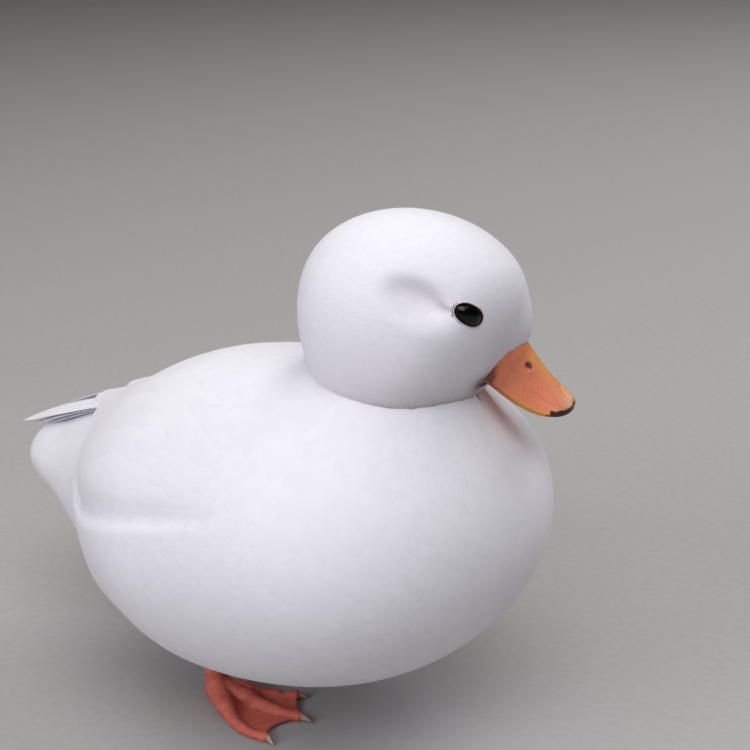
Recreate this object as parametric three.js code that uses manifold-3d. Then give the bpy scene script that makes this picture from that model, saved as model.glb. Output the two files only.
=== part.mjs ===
// A white call duck, life size, standing with its head turned to its left.
// Millimetres. +X is the duck's forward, +Y its left, +Z up; the floor is z = 0.
import * as THREE from "three";
import { mergeVertices } from "three/addons/utils/BufferGeometryUtils.js";
import Module from "manifold-3d";

const wasm = await Module();
wasm.setup();

// ---------------------------------------------------------------- driving dimensions
const GAP = 0.3; // clearance kept between neighbouring pieces

const BREAST = { at: [38.2, 0, 82.2], r: [52.6, 64.8, 48] };
const BELLY = { at: [-6.5, 0, 72.3], r: [70.3, 68.9, 55.9] };
const RUMP = { at: [-43.4, 0, 73.9], r: [50.6, 42.8, 32.6], pitch: -6 };
const TAIL_BASE = { at: [-101.5, 0, 70.6], r: [35.4, 28.3, 16.1], pitch: -2 };
const VENT = { at: [-67.1, 0, 63.3], r: [39.6, 32.2, 25.9], pitch: 14 };
const FLANK = { at: [-41.5, 25.2, 55.2], r: [28.5, 24.3, 22], pitch: -10 };
const NECK = { from: [42, 0, 95.4], to: [50.6, 0.1, 145.8], r: [27.7, 19.8] };
const NECK_BLEND = 21;

const HEAD = { at: [51.8, 6, 153.8], yaw: 41.1, pitch: 12.7 };
const SKULL = { at: [0, 0, 4], r: [36.2, 31.4, 27] }; // places below are in the head's own frame
const CHEEK = { at: [1.2, 8.9, -10.3], r: [32.1, 21.5, 27.2] };
const FOREHEAD = { at: [25.6, 0, -1.2], r: [10.6, 7, 10] };
const BROW_GROOVE = { at: [0.8, 36.6, 12.3], r: [15, 9.4, 5.8], pitch: 14, depth: 5 };
const EYE = { at: [15.7, 29.4, 9.8], r: 6.2, stretch: 1.12, sunk: 4 };
const LID = { long: 6.15, high: 4.4, r: 0.8, lift: 0.3, tilt: 15 };

// The bill's own frame starts at the corner of the mouth. Its sides narrow the face in front of the cheeks.
const BILL = { at: [25.6, 0, -14.8], pitch: 11.9, length: 31.2, sag: 4.8 };
const FACE_SIDE = { through: [0, 16.5, 0], normal: [0.74, 0.463, -0.154], blend: 18 };
const NOSTRIL = { along: 11.4, side: 5.8, up: 8.3, r: [2.3, 1.7, 1.2] };
const NAIL = { along: 27.2, width: 5.2 };

const WING = { depth: 3.6, front: 47, rear: -98, skin: -0.9, rearLift: 3.8 };
// Each tier of wing feathers: how many across, where they start and end along the body.
const WING_TIERS = [
  { name: "lesser coverts", count: 5, from: 41, to: 15 },
  { name: "median coverts", count: 6, from: 20, to: -12 },
  { name: "greater coverts", count: 6, from: -7, to: -44 },
  { name: "secondaries", count: 5, from: -36, to: -78 },
  { name: "tertials", count: 3, from: -66, to: -101 },
];
const PRIMARIES = { root: [-66, 16, 104.5], bend: [-108, 13, 92.5], tip: [-146, 8, 76.8], count: 4, half: 6 };
const PRIMARY_STEP = { back: 8, out: 1.9, down: 1.15 };
const TAIL = { hinge: -100, axis: 70, skin: -1.3 };
const TAIL_TIERS = [
  { name: "upper coverts", count: 4, from: -103, to: -120, low: -78, high: 78, lift: 0.2 },
  { name: "lower coverts", count: 4, from: -101, to: -125, low: 100, high: 260, lift: 0.6 },
  { name: "long upper coverts", count: 5, from: -112, to: -131, low: -84, high: 84, lift: 0 },
];
const RECTRICES = { count: 10, from: -108, spread: 56, reach: [36.4, 27], half: 6.6, thick: 0.8, droop: 3 };

const SHANK = { low: 2, seam: 11.5, high: 36, lean: 3, r: [3.5, 5] };
const WEB_THICK = 1.1;
const WEB_REACH = { beside: 0.93, between: 0.08 }; // shares of the toes' length, less halfway between them
const RIGHT_FOOT = { at: [-25.2, -21.4], yaw: 11.5 };
const LEFT_FOOT = { at: [-29.5, 28], yaw: 4 };
const TOES = [
  { name: "inner", side: -1, angle: 25, bend: 0, length: 30, claw: 3.4 },
  { name: "middle", side: 0, angle: 0, bend: 0, length: 37, claw: 4.2 },
  { name: "outer", side: 1, angle: 42, bend: 17, length: 38.5, claw: 3.6 },
];
const HIND_TOE = { length: 9, side: -1, angle: 150, bend: 0, lift: 5 };

const TAIL_MARGIN = 2.2; // what the wings keep off the tail's skin, for the feathers on it
const BODY_GRID = 9;
const HEAD_GRID = 5.4;
const TAIL_GRID = 6;

// ---------------------------------------------------------------- materials
const finish = (color, roughness) => new THREE.MeshStandardMaterial({ color, roughness, metalness: 0 });
const WHITE_FEATHER = finish(0xf0eef0, 0.85);
const ORANGE_BILL = finish(0xe07a2c, 0.45);
const DARK_NAIL = finish(0x3a1d14, 0.4);
const ORANGE_SKIN = finish(0xd05a26, 0.55);
const CLAW_HORN = finish(0x8a5a3c, 0.45);
const EYE_DARK = finish(0x140d10, 0.08);

// ---------------------------------------------------------------- vectors and frames
const radians = (degrees) => (degrees * Math.PI) / 180;
const add = (a, b, k = 1) => [a[0] + k * b[0], a[1] + k * b[1], a[2] + k * b[2]];
const scale = (a, k) => [a[0] * k, a[1] * k, a[2] * k];
const length = (a) => Math.hypot(a[0], a[1], a[2]);
const unit = (a) => scale(a, 1 / length(a));
const mix = (a, b, t) => a + (b - a) * t;
const mixPoint = (a, b, t) => [mix(a[0], b[0], t), mix(a[1], b[1], t), mix(a[2], b[2], t)];
const clamp01 = (t) => Math.min(1, Math.max(0, t));
const smooth = (a, b, x) => {
  const t = clamp01((x - a) / (b - a));
  return t * t * (3 - 2 * t);
};
const cross = (a, b) => [a[1] * b[2] - a[2] * b[1], a[2] * b[0] - a[0] * b[2], a[0] * b[1] - a[1] * b[0]];

// A frame turned left by yaw, nose down by pitch and then moved, in degrees and millimetres.
function frameAt(at, yaw, pitch) {
  const angles = new THREE.Euler(0, radians(pitch), radians(yaw), "ZYX");
  return new THREE.Matrix4().makeRotationFromEuler(angles).setPosition(...at);
}
const throughFrame = (frame, p) => new THREE.Vector3(...p).applyMatrix4(frame).toArray();

const headFrame = frameAt(HEAD.at, HEAD.yaw, HEAD.pitch);
const headInverse = headFrame.clone().invert();
const billFrame = headFrame.clone().multiply(frameAt(BILL.at, 0, BILL.pitch));
const billInverse = billFrame.clone().invert();

// ---------------------------------------------------------------- the body as distance functions
function ellipsoid([x, y, z], [a, b, c]) {
  const near = Math.hypot(x / a, y / b, z / c);
  const slope = Math.hypot(x / (a * a), y / (b * b), z / (c * c));
  return slope < 1e-9 ? -Math.min(a, b, c) : (near * (near - 1)) / slope;
}

function pitchedEllipsoid(p, form) {
  const s = Math.sin(radians(form.pitch ?? 0));
  const c = Math.cos(radians(form.pitch ?? 0));
  const [x, y, z] = add(p, form.at, -1);
  return ellipsoid([c * x - s * z, y, s * x + c * z], form.r);
}

function blend(a, b, k) {
  const h = Math.max(k - Math.abs(a - b), 0) / k;
  return Math.min(a, b) - (h * h * k) / 4;
}

function bodyDistance(p) {
  let d = pitchedEllipsoid(p, BREAST);
  d = blend(d, pitchedEllipsoid(p, BELLY), 26);
  d = blend(d, pitchedEllipsoid(p, RUMP), 26);
  d = blend(d, pitchedEllipsoid(p, TAIL_BASE), 20);
  d = blend(d, pitchedEllipsoid(p, VENT), 20);
  return blend(blend(d, pitchedEllipsoid(p, FLANK), 10), pitchedEllipsoid([p[0], -p[1], p[2]], FLANK), 10);
}

function neckDistance(p) {
  const along = add(NECK.to, NECK.from, -1);
  const q = add(p, NECK.from, -1);
  const t = clamp01((q[0] * along[0] + q[1] * along[1] + q[2] * along[2]) / length(along) ** 2);
  return length(add(q, along, -t)) - mix(NECK.r[0], NECK.r[1], t);
}

const trunkDistance = (p) => blend(bodyDistance(p), neckDistance(p), NECK_BLEND);

function headDistance(p) {
  const q = throughFrame(headInverse, p);
  let d = ellipsoid(add(q, SKULL.at, -1), SKULL.r);
  for (const side of [-1, 1]) {
    const onSide = [q[0], side * q[1], q[2]];
    d = blend(d, pitchedEllipsoid(onSide, CHEEK), 14);
    d = -blend(-d, pitchedEllipsoid(onSide, BROW_GROOVE), BROW_GROOVE.depth);
  }
  const face = throughFrame(billInverse, p);
  const beyond = add([face[0], Math.abs(face[1]), face[2]], FACE_SIDE.through, -1);
  const side = beyond.reduce((sum, v, i) => sum + v * unit(FACE_SIDE.normal)[i], 0);
  d = -blend(-d, -side, FACE_SIDE.blend);
  return blend(d, ellipsoid(add(q, FOREHEAD.at, -1), FOREHEAD.r), 8);
}

function normalOf(distance, p) {
  const e = 0.5;
  const slope = (axis) => distance(add(p, axis, e)) - distance(add(p, axis, -e));
  return unit([slope([1, 0, 0]), slope([0, 1, 0]), slope([0, 0, 1])]);
}

// ---------------------------------------------------------------- solids from triangles
function solidOf(points, triangles) {
  const geometry = new THREE.BufferGeometry();
  geometry.setAttribute("position", new THREE.Float32BufferAttribute(points.flat(), 3));
  geometry.setIndex(triangles.flat());
  return solidOfGeometry(geometry);
}

function solidOfGeometry(source) {
  const geometry = source.clone();
  geometry.deleteAttribute("normal");
  geometry.deleteAttribute("uv");
  const merged = mergeVertices(geometry, 1e-4);
  const vertProperties = new Float32Array(merged.attributes.position.array);
  const triVerts = new Uint32Array(merged.index.array);
  const made = new wasm.Manifold(new wasm.Mesh({ numProp: 3, vertProperties, triVerts }));
  if (made.volume() > 0) return made;
  for (let i = 0; i < triVerts.length; i += 3) {
    [triVerts[i + 1], triVerts[i + 2]] = [triVerts[i + 2], triVerts[i + 1]];
  }
  return new wasm.Manifold(new wasm.Mesh({ numProp: 3, vertProperties, triVerts }));
}

function geometryOf(solid) {
  const mesh = solid.getMesh();
  const geometry = new THREE.BufferGeometry();
  const points = [];
  for (let i = 0; i < mesh.numVert; i++) {
    points.push(...mesh.vertProperties.subarray(i * mesh.numProp, i * mesh.numProp + 3));
  }
  geometry.setAttribute("position", new THREE.Float32BufferAttribute(points, 3));
  geometry.setIndex([...mesh.triVerts]);
  geometry.computeVertexNormals();
  return geometry;
}

const largest = (solid) => solid.decompose().reduce((a, b) => (b.volume() > a.volume() ? b : a));
const join = (solids) => wasm.Manifold.union(solids);

function placed(geometry, frame) {
  return solidOfGeometry(geometry.clone().applyMatrix4(frame));
}

// A box that fills the side of a plane that its normal points to. Its near face lies on the plane.
function halfSpace(point, normal) {
  const size = 500;
  const frame = new THREE.Matrix4().lookAt(
    new THREE.Vector3(...unit(normal)),
    new THREE.Vector3(0, 0, 0),
    new THREE.Vector3(0.31, 0.95, 0.05),
  );
  frame.setPosition(...add(point, unit(normal), size / 2));
  return placed(new THREE.BoxGeometry(size, size, size), frame);
}

// Walks a grid, puts one point in each cell that the surface crosses and joins neighbours (surface nets).
function meshOf(distance, low, high, step) {
  const count = low.map((v, i) => Math.ceil((high[i] - v) / step) + 1);
  const at = (i, j, k) => [low[0] + i * step, low[1] + j * step, low[2] + k * step];
  const index = (i, j, k) => (k * count[1] + j) * count[0] + i;
  const value = new Float64Array(count[0] * count[1] * count[2]);
  for (let k = 0; k < count[2]; k++) {
    for (let j = 0; j < count[1]; j++) {
      for (let i = 0; i < count[0]; i++) value[index(i, j, k)] = distance(at(i, j, k));
    }
  }
  const points = [];
  const pointOf = new Map();
  const corners = [0, 1, 2, 3, 4, 5, 6, 7].map((n) => [n & 1, (n >> 1) & 1, (n >> 2) & 1]);
  for (let k = 0; k < count[2] - 1; k++) {
    for (let j = 0; j < count[1] - 1; j++) {
      for (let i = 0; i < count[0] - 1; i++) {
        const v = corners.map(([a, b, c]) => value[index(i + a, j + b, k + c)]);
        if (v.every((x) => x < 0) || v.every((x) => x >= 0)) continue;
        let sum = [0, 0, 0];
        let crossings = 0;
        for (let a = 0; a < 8; a++) {
          for (const bit of [1, 2, 4]) {
            if (a & bit || v[a] < 0 === v[a | bit] < 0) continue;
            sum = add(sum, mixPoint(corners[a], corners[a | bit], v[a] / (v[a] - v[a | bit])));
            crossings++;
          }
        }
        const cell = scale(sum, 1 / crossings);
        let p = at(i + cell[0], j + cell[1], k + cell[2]);
        for (let turn = 0; turn < 3; turn++) p = add(p, normalOf(distance, p), -distance(p));
        pointOf.set(index(i, j, k), points.length);
        points.push(p);
      }
    }
  }
  const triangles = [];
  const apart = (a, b) => length(add(points[a], points[b], -1));
  const quad = (a, b, c, d, flip) => {
    const [p, q, r, s] = flip ? [d, c, b, a] : [a, b, c, d];
    if (apart(p, r) <= apart(q, s)) triangles.push([p, q, r], [p, r, s]);
    else triangles.push([p, q, s], [q, r, s]);
  };
  const steps = [index(1, 0, 0), index(0, 1, 0), index(0, 0, 1)];
  for (let k = 1; k < count[2] - 1; k++) {
    for (let j = 1; j < count[1] - 1; j++) {
      for (let i = 1; i < count[0] - 1; i++) {
        const here = index(i, j, k);
        for (let axis = 0; axis < 3; axis++) {
          const inside = value[here] < 0;
          if (inside === value[here + steps[axis]] < 0) continue;
          const u = steps[(axis + 1) % 3];
          const w = steps[(axis + 2) % 3];
          const ring = [here - u - w, here - w, here, here - u].map((n) => pointOf.get(n));
          quad(...ring, !inside);
        }
      }
    }
  }
  return solidOf(points, triangles);
}

// A closed skin over rings of equal count, each a loop of points, with a fan over each end ring.
function loft(rings) {
  const n = rings[0].length;
  const points = rings.flat();
  const triangles = [];
  for (let r = 0; r + 1 < rings.length; r++) {
    for (let i = 0; i < n; i++) {
      const a = r * n + i;
      const b = r * n + ((i + 1) % n);
      triangles.push([a, b, b + n], [a, b + n, a + n]);
    }
  }
  for (const r of [0, rings.length - 1]) {
    const centre = points.length;
    const sum = rings[r].reduce((s, p) => add(s, p), [0, 0, 0]);
    points.push(scale(sum, 1 / n));
    for (let i = 0; i < n; i++) {
      const a = r * n + i;
      const b = r * n + ((i + 1) % n);
      triangles.push(r === 0 ? [centre, b, a] : [centre, a, b]);
    }
  }
  return solidOf(points, triangles);
}

// A plate from a grid of points above and the same grid below, split alike on both faces.
function plate(rows, columns, upper, lower) {
  const points = [];
  for (const face of [upper, lower]) {
    for (let i = 0; i <= rows; i++) {
      for (let j = 0; j <= columns; j++) points.push(face(i / rows, j / columns));
    }
  }
  const size = (rows + 1) * (columns + 1);
  const at = (i, j) => i * (columns + 1) + j;
  const triangles = [];
  for (let i = 0; i < rows; i++) {
    for (let j = 0; j < columns; j++) {
      const [a, b, c, d] = [at(i, j), at(i + 1, j), at(i + 1, j + 1), at(i, j + 1)];
      triangles.push([a, b, c], [a, c, d], [a + size, c + size, b + size], [a + size, d + size, c + size]);
    }
  }
  const edge = [];
  for (let i = 0; i < rows; i++) edge.push(at(i, 0));
  for (let j = 0; j < columns; j++) edge.push(at(rows, j));
  for (let i = rows; i > 0; i--) edge.push(at(i, columns));
  for (let j = columns; j > 0; j--) edge.push(at(0, j));
  edge.forEach((a, i) => {
    const b = edge[(i + 1) % edge.length];
    triangles.push([b, a, a + size], [b, a + size, b + size]);
  });
  return solidOf(points, triangles);
}

// ---------------------------------------------------------------- trunk: torso, neck, tail root
const TRUNK_LOW = [-152, -84, 2];
const TRUNK_HIGH = [112, 84, 190];
const trunk = meshOf(trunkDistance, TRUNK_LOW, TRUNK_HIGH, BODY_GRID);
const trunkClear = meshOf((p) => trunkDistance(p) - GAP, TRUNK_LOW, TRUNK_HIGH, BODY_GRID);
const head = meshOf(headDistance, [2, -46, 106], [104, 58, 200], HEAD_GRID);
const headClear = meshOf((p) => headDistance(p) - GAP, [2, -46, 106], [104, 58, 200], HEAD_GRID);

const NECK_SEAM = { at: [50, 0, 112], normal: [0.35, 0, 1] };
const TAIL_SEAM = { at: [TAIL.hinge, 0, 70], normal: [-1, 0, -0.1] };

// The two sides of a seam: what lies behind it and what lies past it, with the gap between them.
const behindSeam = (solid, seam) => solid.subtract(halfSpace(seam.at, seam.normal));
const pastSeam = (solid, seam) => {
  const moved = add(seam.at, unit(seam.normal), GAP);
  return solid.intersect(halfSpace(moved, seam.normal));
};

// ---------------------------------------------------------------- feathers
// The width of a feather along its length as a share of its widest.
const vaneWidth = (s) => mix(0.66, 1, smooth(0, 0.5, s)) * (1 - 0.4 * s ** 4);

// A tapered feather. The surface takes a place along it, a place across it and a height, and gives a point.
// The corners of its tip are drawn back by the share "round" of its length.
function vane(surface, { from, to, centre, half, round, rootLift, tipLift, tilt, thick }) {
  const face = (s, t, drop) => {
    const u = 2 * t - 1;
    const along = mix(from, to, s * (1 - round * u * u * s));
    const lift = mix(rootLift, tipLift, s) + tilt * u - 0.25 * u * u;
    return surface(along, centre + half * vaneWidth(s) * u, lift - drop);
  };
  return plate(
    3,
    2,
    (s, t) => face(s, t, 0),
    (s, t) => face(s, t, mix(thick[0], thick[1], s)),
  );
}

// ---------------------------------------------------------------- wings
const AXIS_HEIGHT = 75; // the line that the wing's angles are counted about, from straight up

// The point at that angle round a line along the body where the distance from the body is h.
function onBody(side, x, angle, h, axis) {
  const way = [0, side * Math.sin(radians(angle)), Math.cos(radians(angle))];
  let near = 0;
  let far = 120;
  for (let turn = 0; turn < 26; turn++) {
    const half = (near + far) / 2;
    if (bodyDistance(add([x, 0, axis], way, half)) < h) near = half;
    else far = half;
  }
  return add([x, 0, axis], way, near);
}

// The folded wing's lower and upper edges, as angles round the body at each place along it.
const wingLower = (x) => mix(75.5 - 0.235 * x, 40, smooth(-58, WING.rear - 2, x)) - 13 * smooth(28, 48, x);
const wingUpper = (x) => mix(11, 50, smooth(-48, 46, x));
const wingRise = (x) => WING.rearLift * smooth(-56, WING.rear, x);

// A point of the wing: along the body, across the wing from its upper edge to its lower one, and up.
function onWing(side, x, across, h) {
  return onBody(side, x, mix(wingUpper(x), wingLower(x), across), h, AXIS_HEIGHT);
}

function wingSheet(side, inner, outer, grow) {
  const rows = 11;
  const columns = 6;
  const place = (s, t, h) => {
    const x = mix(WING.front + grow, WING.rear - grow, s);
    const angle = mix(wingUpper(x) - grow, wingLower(x) + grow, t);
    return onBody(side, x, angle, h(x, s, t), AXIS_HEIGHT);
  };
  return plate(
    rows,
    columns,
    (s, t) => place(s, t, outer),
    (s, t) => place(s, t, inner),
  );
}

// The wing's own skin sinks a little towards its front and lower edges, where the flank closes over it.
const wingSkin = (x, s, t) => {
  const rim = Math.min(smooth(0, 0.2, s), smooth(1, 0.75, t));
  return mix(-1.9, WING.skin, rim) + wingRise(x);
};
const CLEAR_ABOVE = 14;
const pocket = (side) => wingSheet(side, () => -WING.depth, () => CLEAR_ABOVE, 0.5);
const wingShell = (side) => wingSheet(side, () => GAP - WING.depth, wingSkin, 0);
const wingHeart = (side) => wingSheet(side, () => -WING.depth + 1.2, () => CLEAR_ABOVE, -0.8);

function wingFeathers(side) {
  const feathers = [];
  WING_TIERS.forEach((tier, row) => {
    for (let n = 0; n < tier.count; n++) {
      const stagger = row % 2 ? 0 : 0.12;
      const centre = (n + 0.5 + stagger) / (tier.count + 0.24);
      const slip = 2.2 * Math.sin(2.4 * n + row);
      const edge = 0.75 * smooth(0.75, 1, centre);
      feathers.push(
        vane((x, across, h) => onWing(side, x, Math.min(Math.max(across, 0.02), 0.975), h + wingRise(x)), {
          from: tier.from + slip,
          to: tier.to + slip,
          centre,
          half: 0.62 / tier.count,
          round: 0.16,
          rootLift: -1.5 - edge,
          tipLift: 0.25 - edge,
          tilt: -0.22,
          thick: [1.4, 1.4],
        }),
      );
    }
  });
  return feathers;
}

// The long flight feathers that reach over the tail, each a little shorter and lower than the one above.
function primaries(side) {
  const feathers = [];
  for (let n = 0; n < PRIMARIES.count; n++) {
    const shift = [PRIMARY_STEP.back * n, PRIMARY_STEP.out * n, -PRIMARY_STEP.down * n];
    const [a, b, c] = [PRIMARIES.root, PRIMARIES.bend, PRIMARIES.tip].map((p, i) => {
      const [x, y, z] = add(p, [shift[0] * (i / 2), shift[1], shift[2]]);
      return [x, side * y, z];
    });
    const surface = (s, across, h) => {
      const p = mixPoint(mixPoint(a, b, s), mixPoint(b, c, s), s);
      const sweep = unit([0.08, side, -0.42]);
      return add(add(p, sweep, across * (1 - 0.6 * s ** 4)), [0, 0, 1], h);
    };
    feathers.push(
      vane(surface, {
        from: 0,
        to: 1,
        centre: 0,
        half: PRIMARIES.half,
        round: 0.08,
        rootLift: 0,
        tipLift: 0,
        tilt: 0,
        thick: [0.8, 0.6],
      }),
    );
  }
  return feathers;
}

function makeWing(side) {
  const clear = trunkClear.subtract(wingHeart(side));
  const free = join([...wingFeathers(side), ...primaries(side)]).subtract(clear).subtract(tailClear);
  return largest(behindSeam(join([wingShell(side), free]), NECK_SEAM));
}

// ---------------------------------------------------------------- tail
const TAIL_LOW = [-152, -56, 22];
const TAIL_HIGH = [-70, 56, 122];
const rearDistance = (p) => {
  const inset = TAIL.skin * smooth(TAIL.hinge - 2, TAIL.hinge - 14, p[0]);
  return Math.max(trunkDistance(p) - inset, p[0] - TAIL.hinge - 8);
};

function tailFeathers() {
  const feathers = [];
  for (const tier of TAIL_TIERS) {
    for (let n = 0; n < tier.count; n++) {
      const step = (tier.high - tier.low) / tier.count;
      feathers.push(
        vane((x, angle, h) => onBody(1, x, angle, h, TAIL.axis), {
          from: tier.from,
          to: tier.to + 2 * Math.sin(2.1 * n),
          centre: tier.low + step * (n + 0.5),
          half: step * 0.6,
          round: 0.14,
          rootLift: -1.9,
          tipLift: tier.lift,
          tilt: 0.12,
          thick: [1.6, 1.5],
        }),
      );
    }
  }
  return feathers;
}

// The tail's own fan of stiff feathers, the middle ones on top.
function rectrices() {
  const feathers = [];
  for (let n = 0; n < RECTRICES.count; n++) {
    const turn = mix(-1, 1, n / (RECTRICES.count - 1));
    const angle = radians(RECTRICES.spread * turn);
    const tip = [
      TAIL_BASE.at[0] - RECTRICES.reach[0] * Math.cos(angle),
      RECTRICES.reach[1] * Math.sin(angle),
      TAIL_BASE.at[2] - RECTRICES.droop * Math.abs(turn) - 1.1 * (n % 2) - 1,
    ];
    const root = [RECTRICES.from, tip[1] * 0.35, TAIL_BASE.at[2] + 1 - 1.1 * (n % 2)];
    const way = unit(add(tip, root, -1));
    const out = unit(cross([0, 0, 1], way));
    const surface = (s, across, h) => add(add(mixPoint(root, tip, s), out, across), [0, 0, 1], h);
    feathers.push(
      vane(surface, {
        from: 0,
        to: 1,
        centre: 0,
        half: RECTRICES.half,
        round: 0.07,
        rootLift: 0,
        tipLift: 0,
        tilt: 0,
        thick: [RECTRICES.thick, 0.6],
      }),
    );
  }
  return feathers;
}

const tailSkin = meshOf(rearDistance, TAIL_LOW, TAIL_HIGH, TAIL_GRID);
const tailWhole = largest(join([tailSkin, ...tailFeathers(), ...rectrices()]));
const tail = largest(pastSeam(tailWhole, TAIL_SEAM));
// What the wings keep off: the tail's shape, a little larger all over, up to its seam.
const tailGrown = meshOf((p) => rearDistance(p) - TAIL_MARGIN, TAIL_LOW, TAIL_HIGH, TAIL_GRID);
const tailClear = pastSeam(tailGrown, TAIL_SEAM);

// ---------------------------------------------------------------- torso and neck
const wingPockets = [-1, 1].map(pocket);
const trunkBody = behindSeam(behindSeam(trunk, NECK_SEAM), TAIL_SEAM);
const torso = largest(wingPockets.reduce((a, b) => a.subtract(b), trunkBody));
const neck = largest(pastSeam(trunk, NECK_SEAM).subtract(headClear));

// ---------------------------------------------------------------- head and eyes
function eyeFrame(side) {
  const local = [EYE.at[0], side * EYE.at[1], EYE.at[2]];
  let p = throughFrame(headFrame, local);
  for (let turn = 0; turn < 4; turn++) p = add(p, normalOf(headDistance, p), -headDistance(p));
  const out = normalOf(headDistance, p);
  const along = throughFrame(headFrame.clone().setPosition(0, 0, 0), [
    Math.cos(radians(LID.tilt)),
    0,
    -Math.sin(radians(LID.tilt)),
  ]);
  const up = unit(cross(out, along));
  const front = unit(cross(up, out));
  const frame = new THREE.Matrix4().makeBasis(
    new THREE.Vector3(...front),
    new THREE.Vector3(...up),
    new THREE.Vector3(...out),
  );
  return frame.setPosition(...p);
}

// The ball reaches out only as far as the middle of the lids.
function makeEyeball(side, grow) {
  const frame = eyeFrame(side).multiply(new THREE.Matrix4().makeTranslation(0, 0, -EYE.sunk));
  const opening = new THREE.CylinderGeometry(1, 1, 3 * EYE.r, 16).rotateX(Math.PI / 2);
  opening.scale(LID.long + grow, LID.high + grow, 1);
  const ball = new THREE.SphereGeometry(EYE.r + grow, 16, 9).rotateX(Math.PI / 2);
  ball.scale(EYE.stretch, 1, 1);
  return placed(ball, frame).intersect(placed(opening, frame));
}

function makeLids(side) {
  const ring = new THREE.TorusGeometry(1, LID.r, 6, 20);
  const place = ring.attributes.position;
  for (let i = 0; i < place.count; i++) {
    const [x, y, z] = [place.getX(i), place.getY(i), place.getZ(i)];
    const out = Math.hypot(x, y) - 1;
    const angle = Math.atan2(y, x);
    const lift = LID.lift * Math.sin(angle) ** 2;
    place.setXYZ(i, Math.cos(angle) * (LID.long + out), Math.sin(angle) * (LID.high + out), z + lift);
  }
  return placed(ring, eyeFrame(side));
}

// ---------------------------------------------------------------- bill
const culmen = (x) => 1.3 + 13.2 * (1 - clamp01((x - 7) / 24)) ** 1.35 + 0.06 * Math.max(0, 8 - x);
const billEdge = (x) => -BILL.sag * Math.sin(Math.PI * clamp01(x / (BILL.length + 1)) ** 1.15);
const billHalf = (x) => {
  const half = mix(12.3, 10.2, smooth(0, 14, x)) + 1.2 * smooth(15, 25, x);
  return half * Math.sqrt(1 - clamp01((x - 24) / (BILL.length - 24)) ** 2.2);
};

// Rings along the bill: an arch from the edge on one side over to the other, closed straight below.
function billRings(from, to, sections, around, point) {
  const rings = [];
  for (let s = 0; s <= sections; s++) {
    const x = mix(from, to, Math.sin((s / sections) * (Math.PI / 2)));
    const ring = [];
    for (let i = 0; i <= around; i++) ring.push(point(x, (i / around) * Math.PI));
    ring.push(point(x, null));
    rings.push(ring.map((p) => throughFrame(billFrame, p)));
  }
  return rings;
}

function makeUpperBill() {
  const tip = (x) => Math.sqrt(clamp01((BILL.length - x) / 2.4 + 0.12));
  const point = (x, a) => {
    const base = billEdge(x);
    if (a === null) return [x, 0, base + 0.02];
    const high = (culmen(x) - base) * tip(x);
    const roundness = mix(1, 0.72, clamp01(x / 24));
    return [x, Math.max(billHalf(x), 0.8) * Math.cos(a), base + high * Math.sin(a) ** roundness];
  };
  let bill = loft(billRings(-8, BILL.length - 0.15, 13, 14, point));
  for (const side of [-1, 1]) {
    const pit = new THREE.SphereGeometry(1, 10, 8).scale(...NOSTRIL.r);
    const place = frameAt([NOSTRIL.along, side * NOSTRIL.side, NOSTRIL.up], 0, 24);
    bill = bill.subtract(placed(pit, billFrame.clone().multiply(place)));
  }
  return bill;
}

function makeLowerBill() {
  const end = BILL.length - 2.2;
  const point = (x, a) => {
    const top = billEdge(x) - GAP;
    if (a === null) return [x, 0, top - 0.02];
    const half = Math.max(billHalf(Math.min(x + 1.6, BILL.length - 0.6)) - 0.9, 1);
    const deep = mix(1.1, 3.2, Math.sin(a) ** 2) * mix(1, 0.45, clamp01(x / end));
    return [x, half * Math.cos(a), top - deep * Math.sin(a) ** 0.35];
  };
  return loft(billRings(-8, end, 10, 12, point).map((ring) => ring.reverse()));
}

const nailCut = (offset) => {
  const plane = new THREE.Matrix4().makeTranslation(NAIL.along + offset + 10, 0, 0);
  const width = 2 * (NAIL.width - offset);
  return placed(new THREE.BoxGeometry(20, width, 30), billFrame.clone().multiply(plane));
};

// ---------------------------------------------------------------- legs and feet
// The line of a toe over the floor. An angle that shrinks towards the tip bends the toe inwards.
function toePath(toe, foot) {
  const side = Math.sign(foot.at[1]) * toe.side;
  return (t) => {
    const way = radians(foot.yaw + side * (toe.angle - toe.bend * t ** 3));
    return [foot.at[0] + Math.cos(way) * toe.length * t, foot.at[1] + Math.sin(way) * toe.length * t, 0];
  };
}

function toeWay(path, t) {
  const way = unit(add(path(t + 0.01), path(t - 0.01), -1));
  return { way, across: [-way[1], way[0], 0] };
}

const toeTop = (t) => mix(8.6, 3.3, smooth(0, 0.75, t)) + 0.45 * Math.cos(t * Math.PI * 6);
const toeHalf = (t) => mix(3.2, 1.5, t) + 0.25 * Math.cos(t * Math.PI * 6);

function makeToe(toe, foot) {
  const path = toePath(toe, foot);
  const rings = [-0.06, 0.04, 0.16, 0.33, 0.5, 0.66, 0.83, 0.96].map((t) => {
    const { across } = toeWay(path, t);
    return [0, 1, 2, 3, 4, 5].map((i) => {
      const a = (i / 5) * Math.PI;
      const up = Math.max(toeTop(t) * Math.sin(a), 0);
      return add(add(path(t), across, toeHalf(t) * Math.cos(a) * (i % 5 ? 1.15 : 0.9)), [0, 0, 1], up);
    });
  });
  return loft(rings);
}

function makeWeb(a, b, foot) {
  const [first, second] = [toePath(a, foot), toePath(b, foot)];
  const place = (s, t, z) => {
    const reach = s * (WEB_REACH.beside - WEB_REACH.between * Math.sin(Math.PI * t));
    const p = mixPoint(first(reach), second(reach), t);
    return [p[0], p[1], z + mix(4.5, 0.7, smooth(0, 0.6, s)) - 0.2 * Math.sin(Math.PI * t)];
  };
  return plate(
    6,
    4,
    (s, t) => place(mix(0.06, 1, s), t, WEB_THICK),
    (s, t) => place(mix(0.06, 1, s), t, 0),
  );
}

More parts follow.
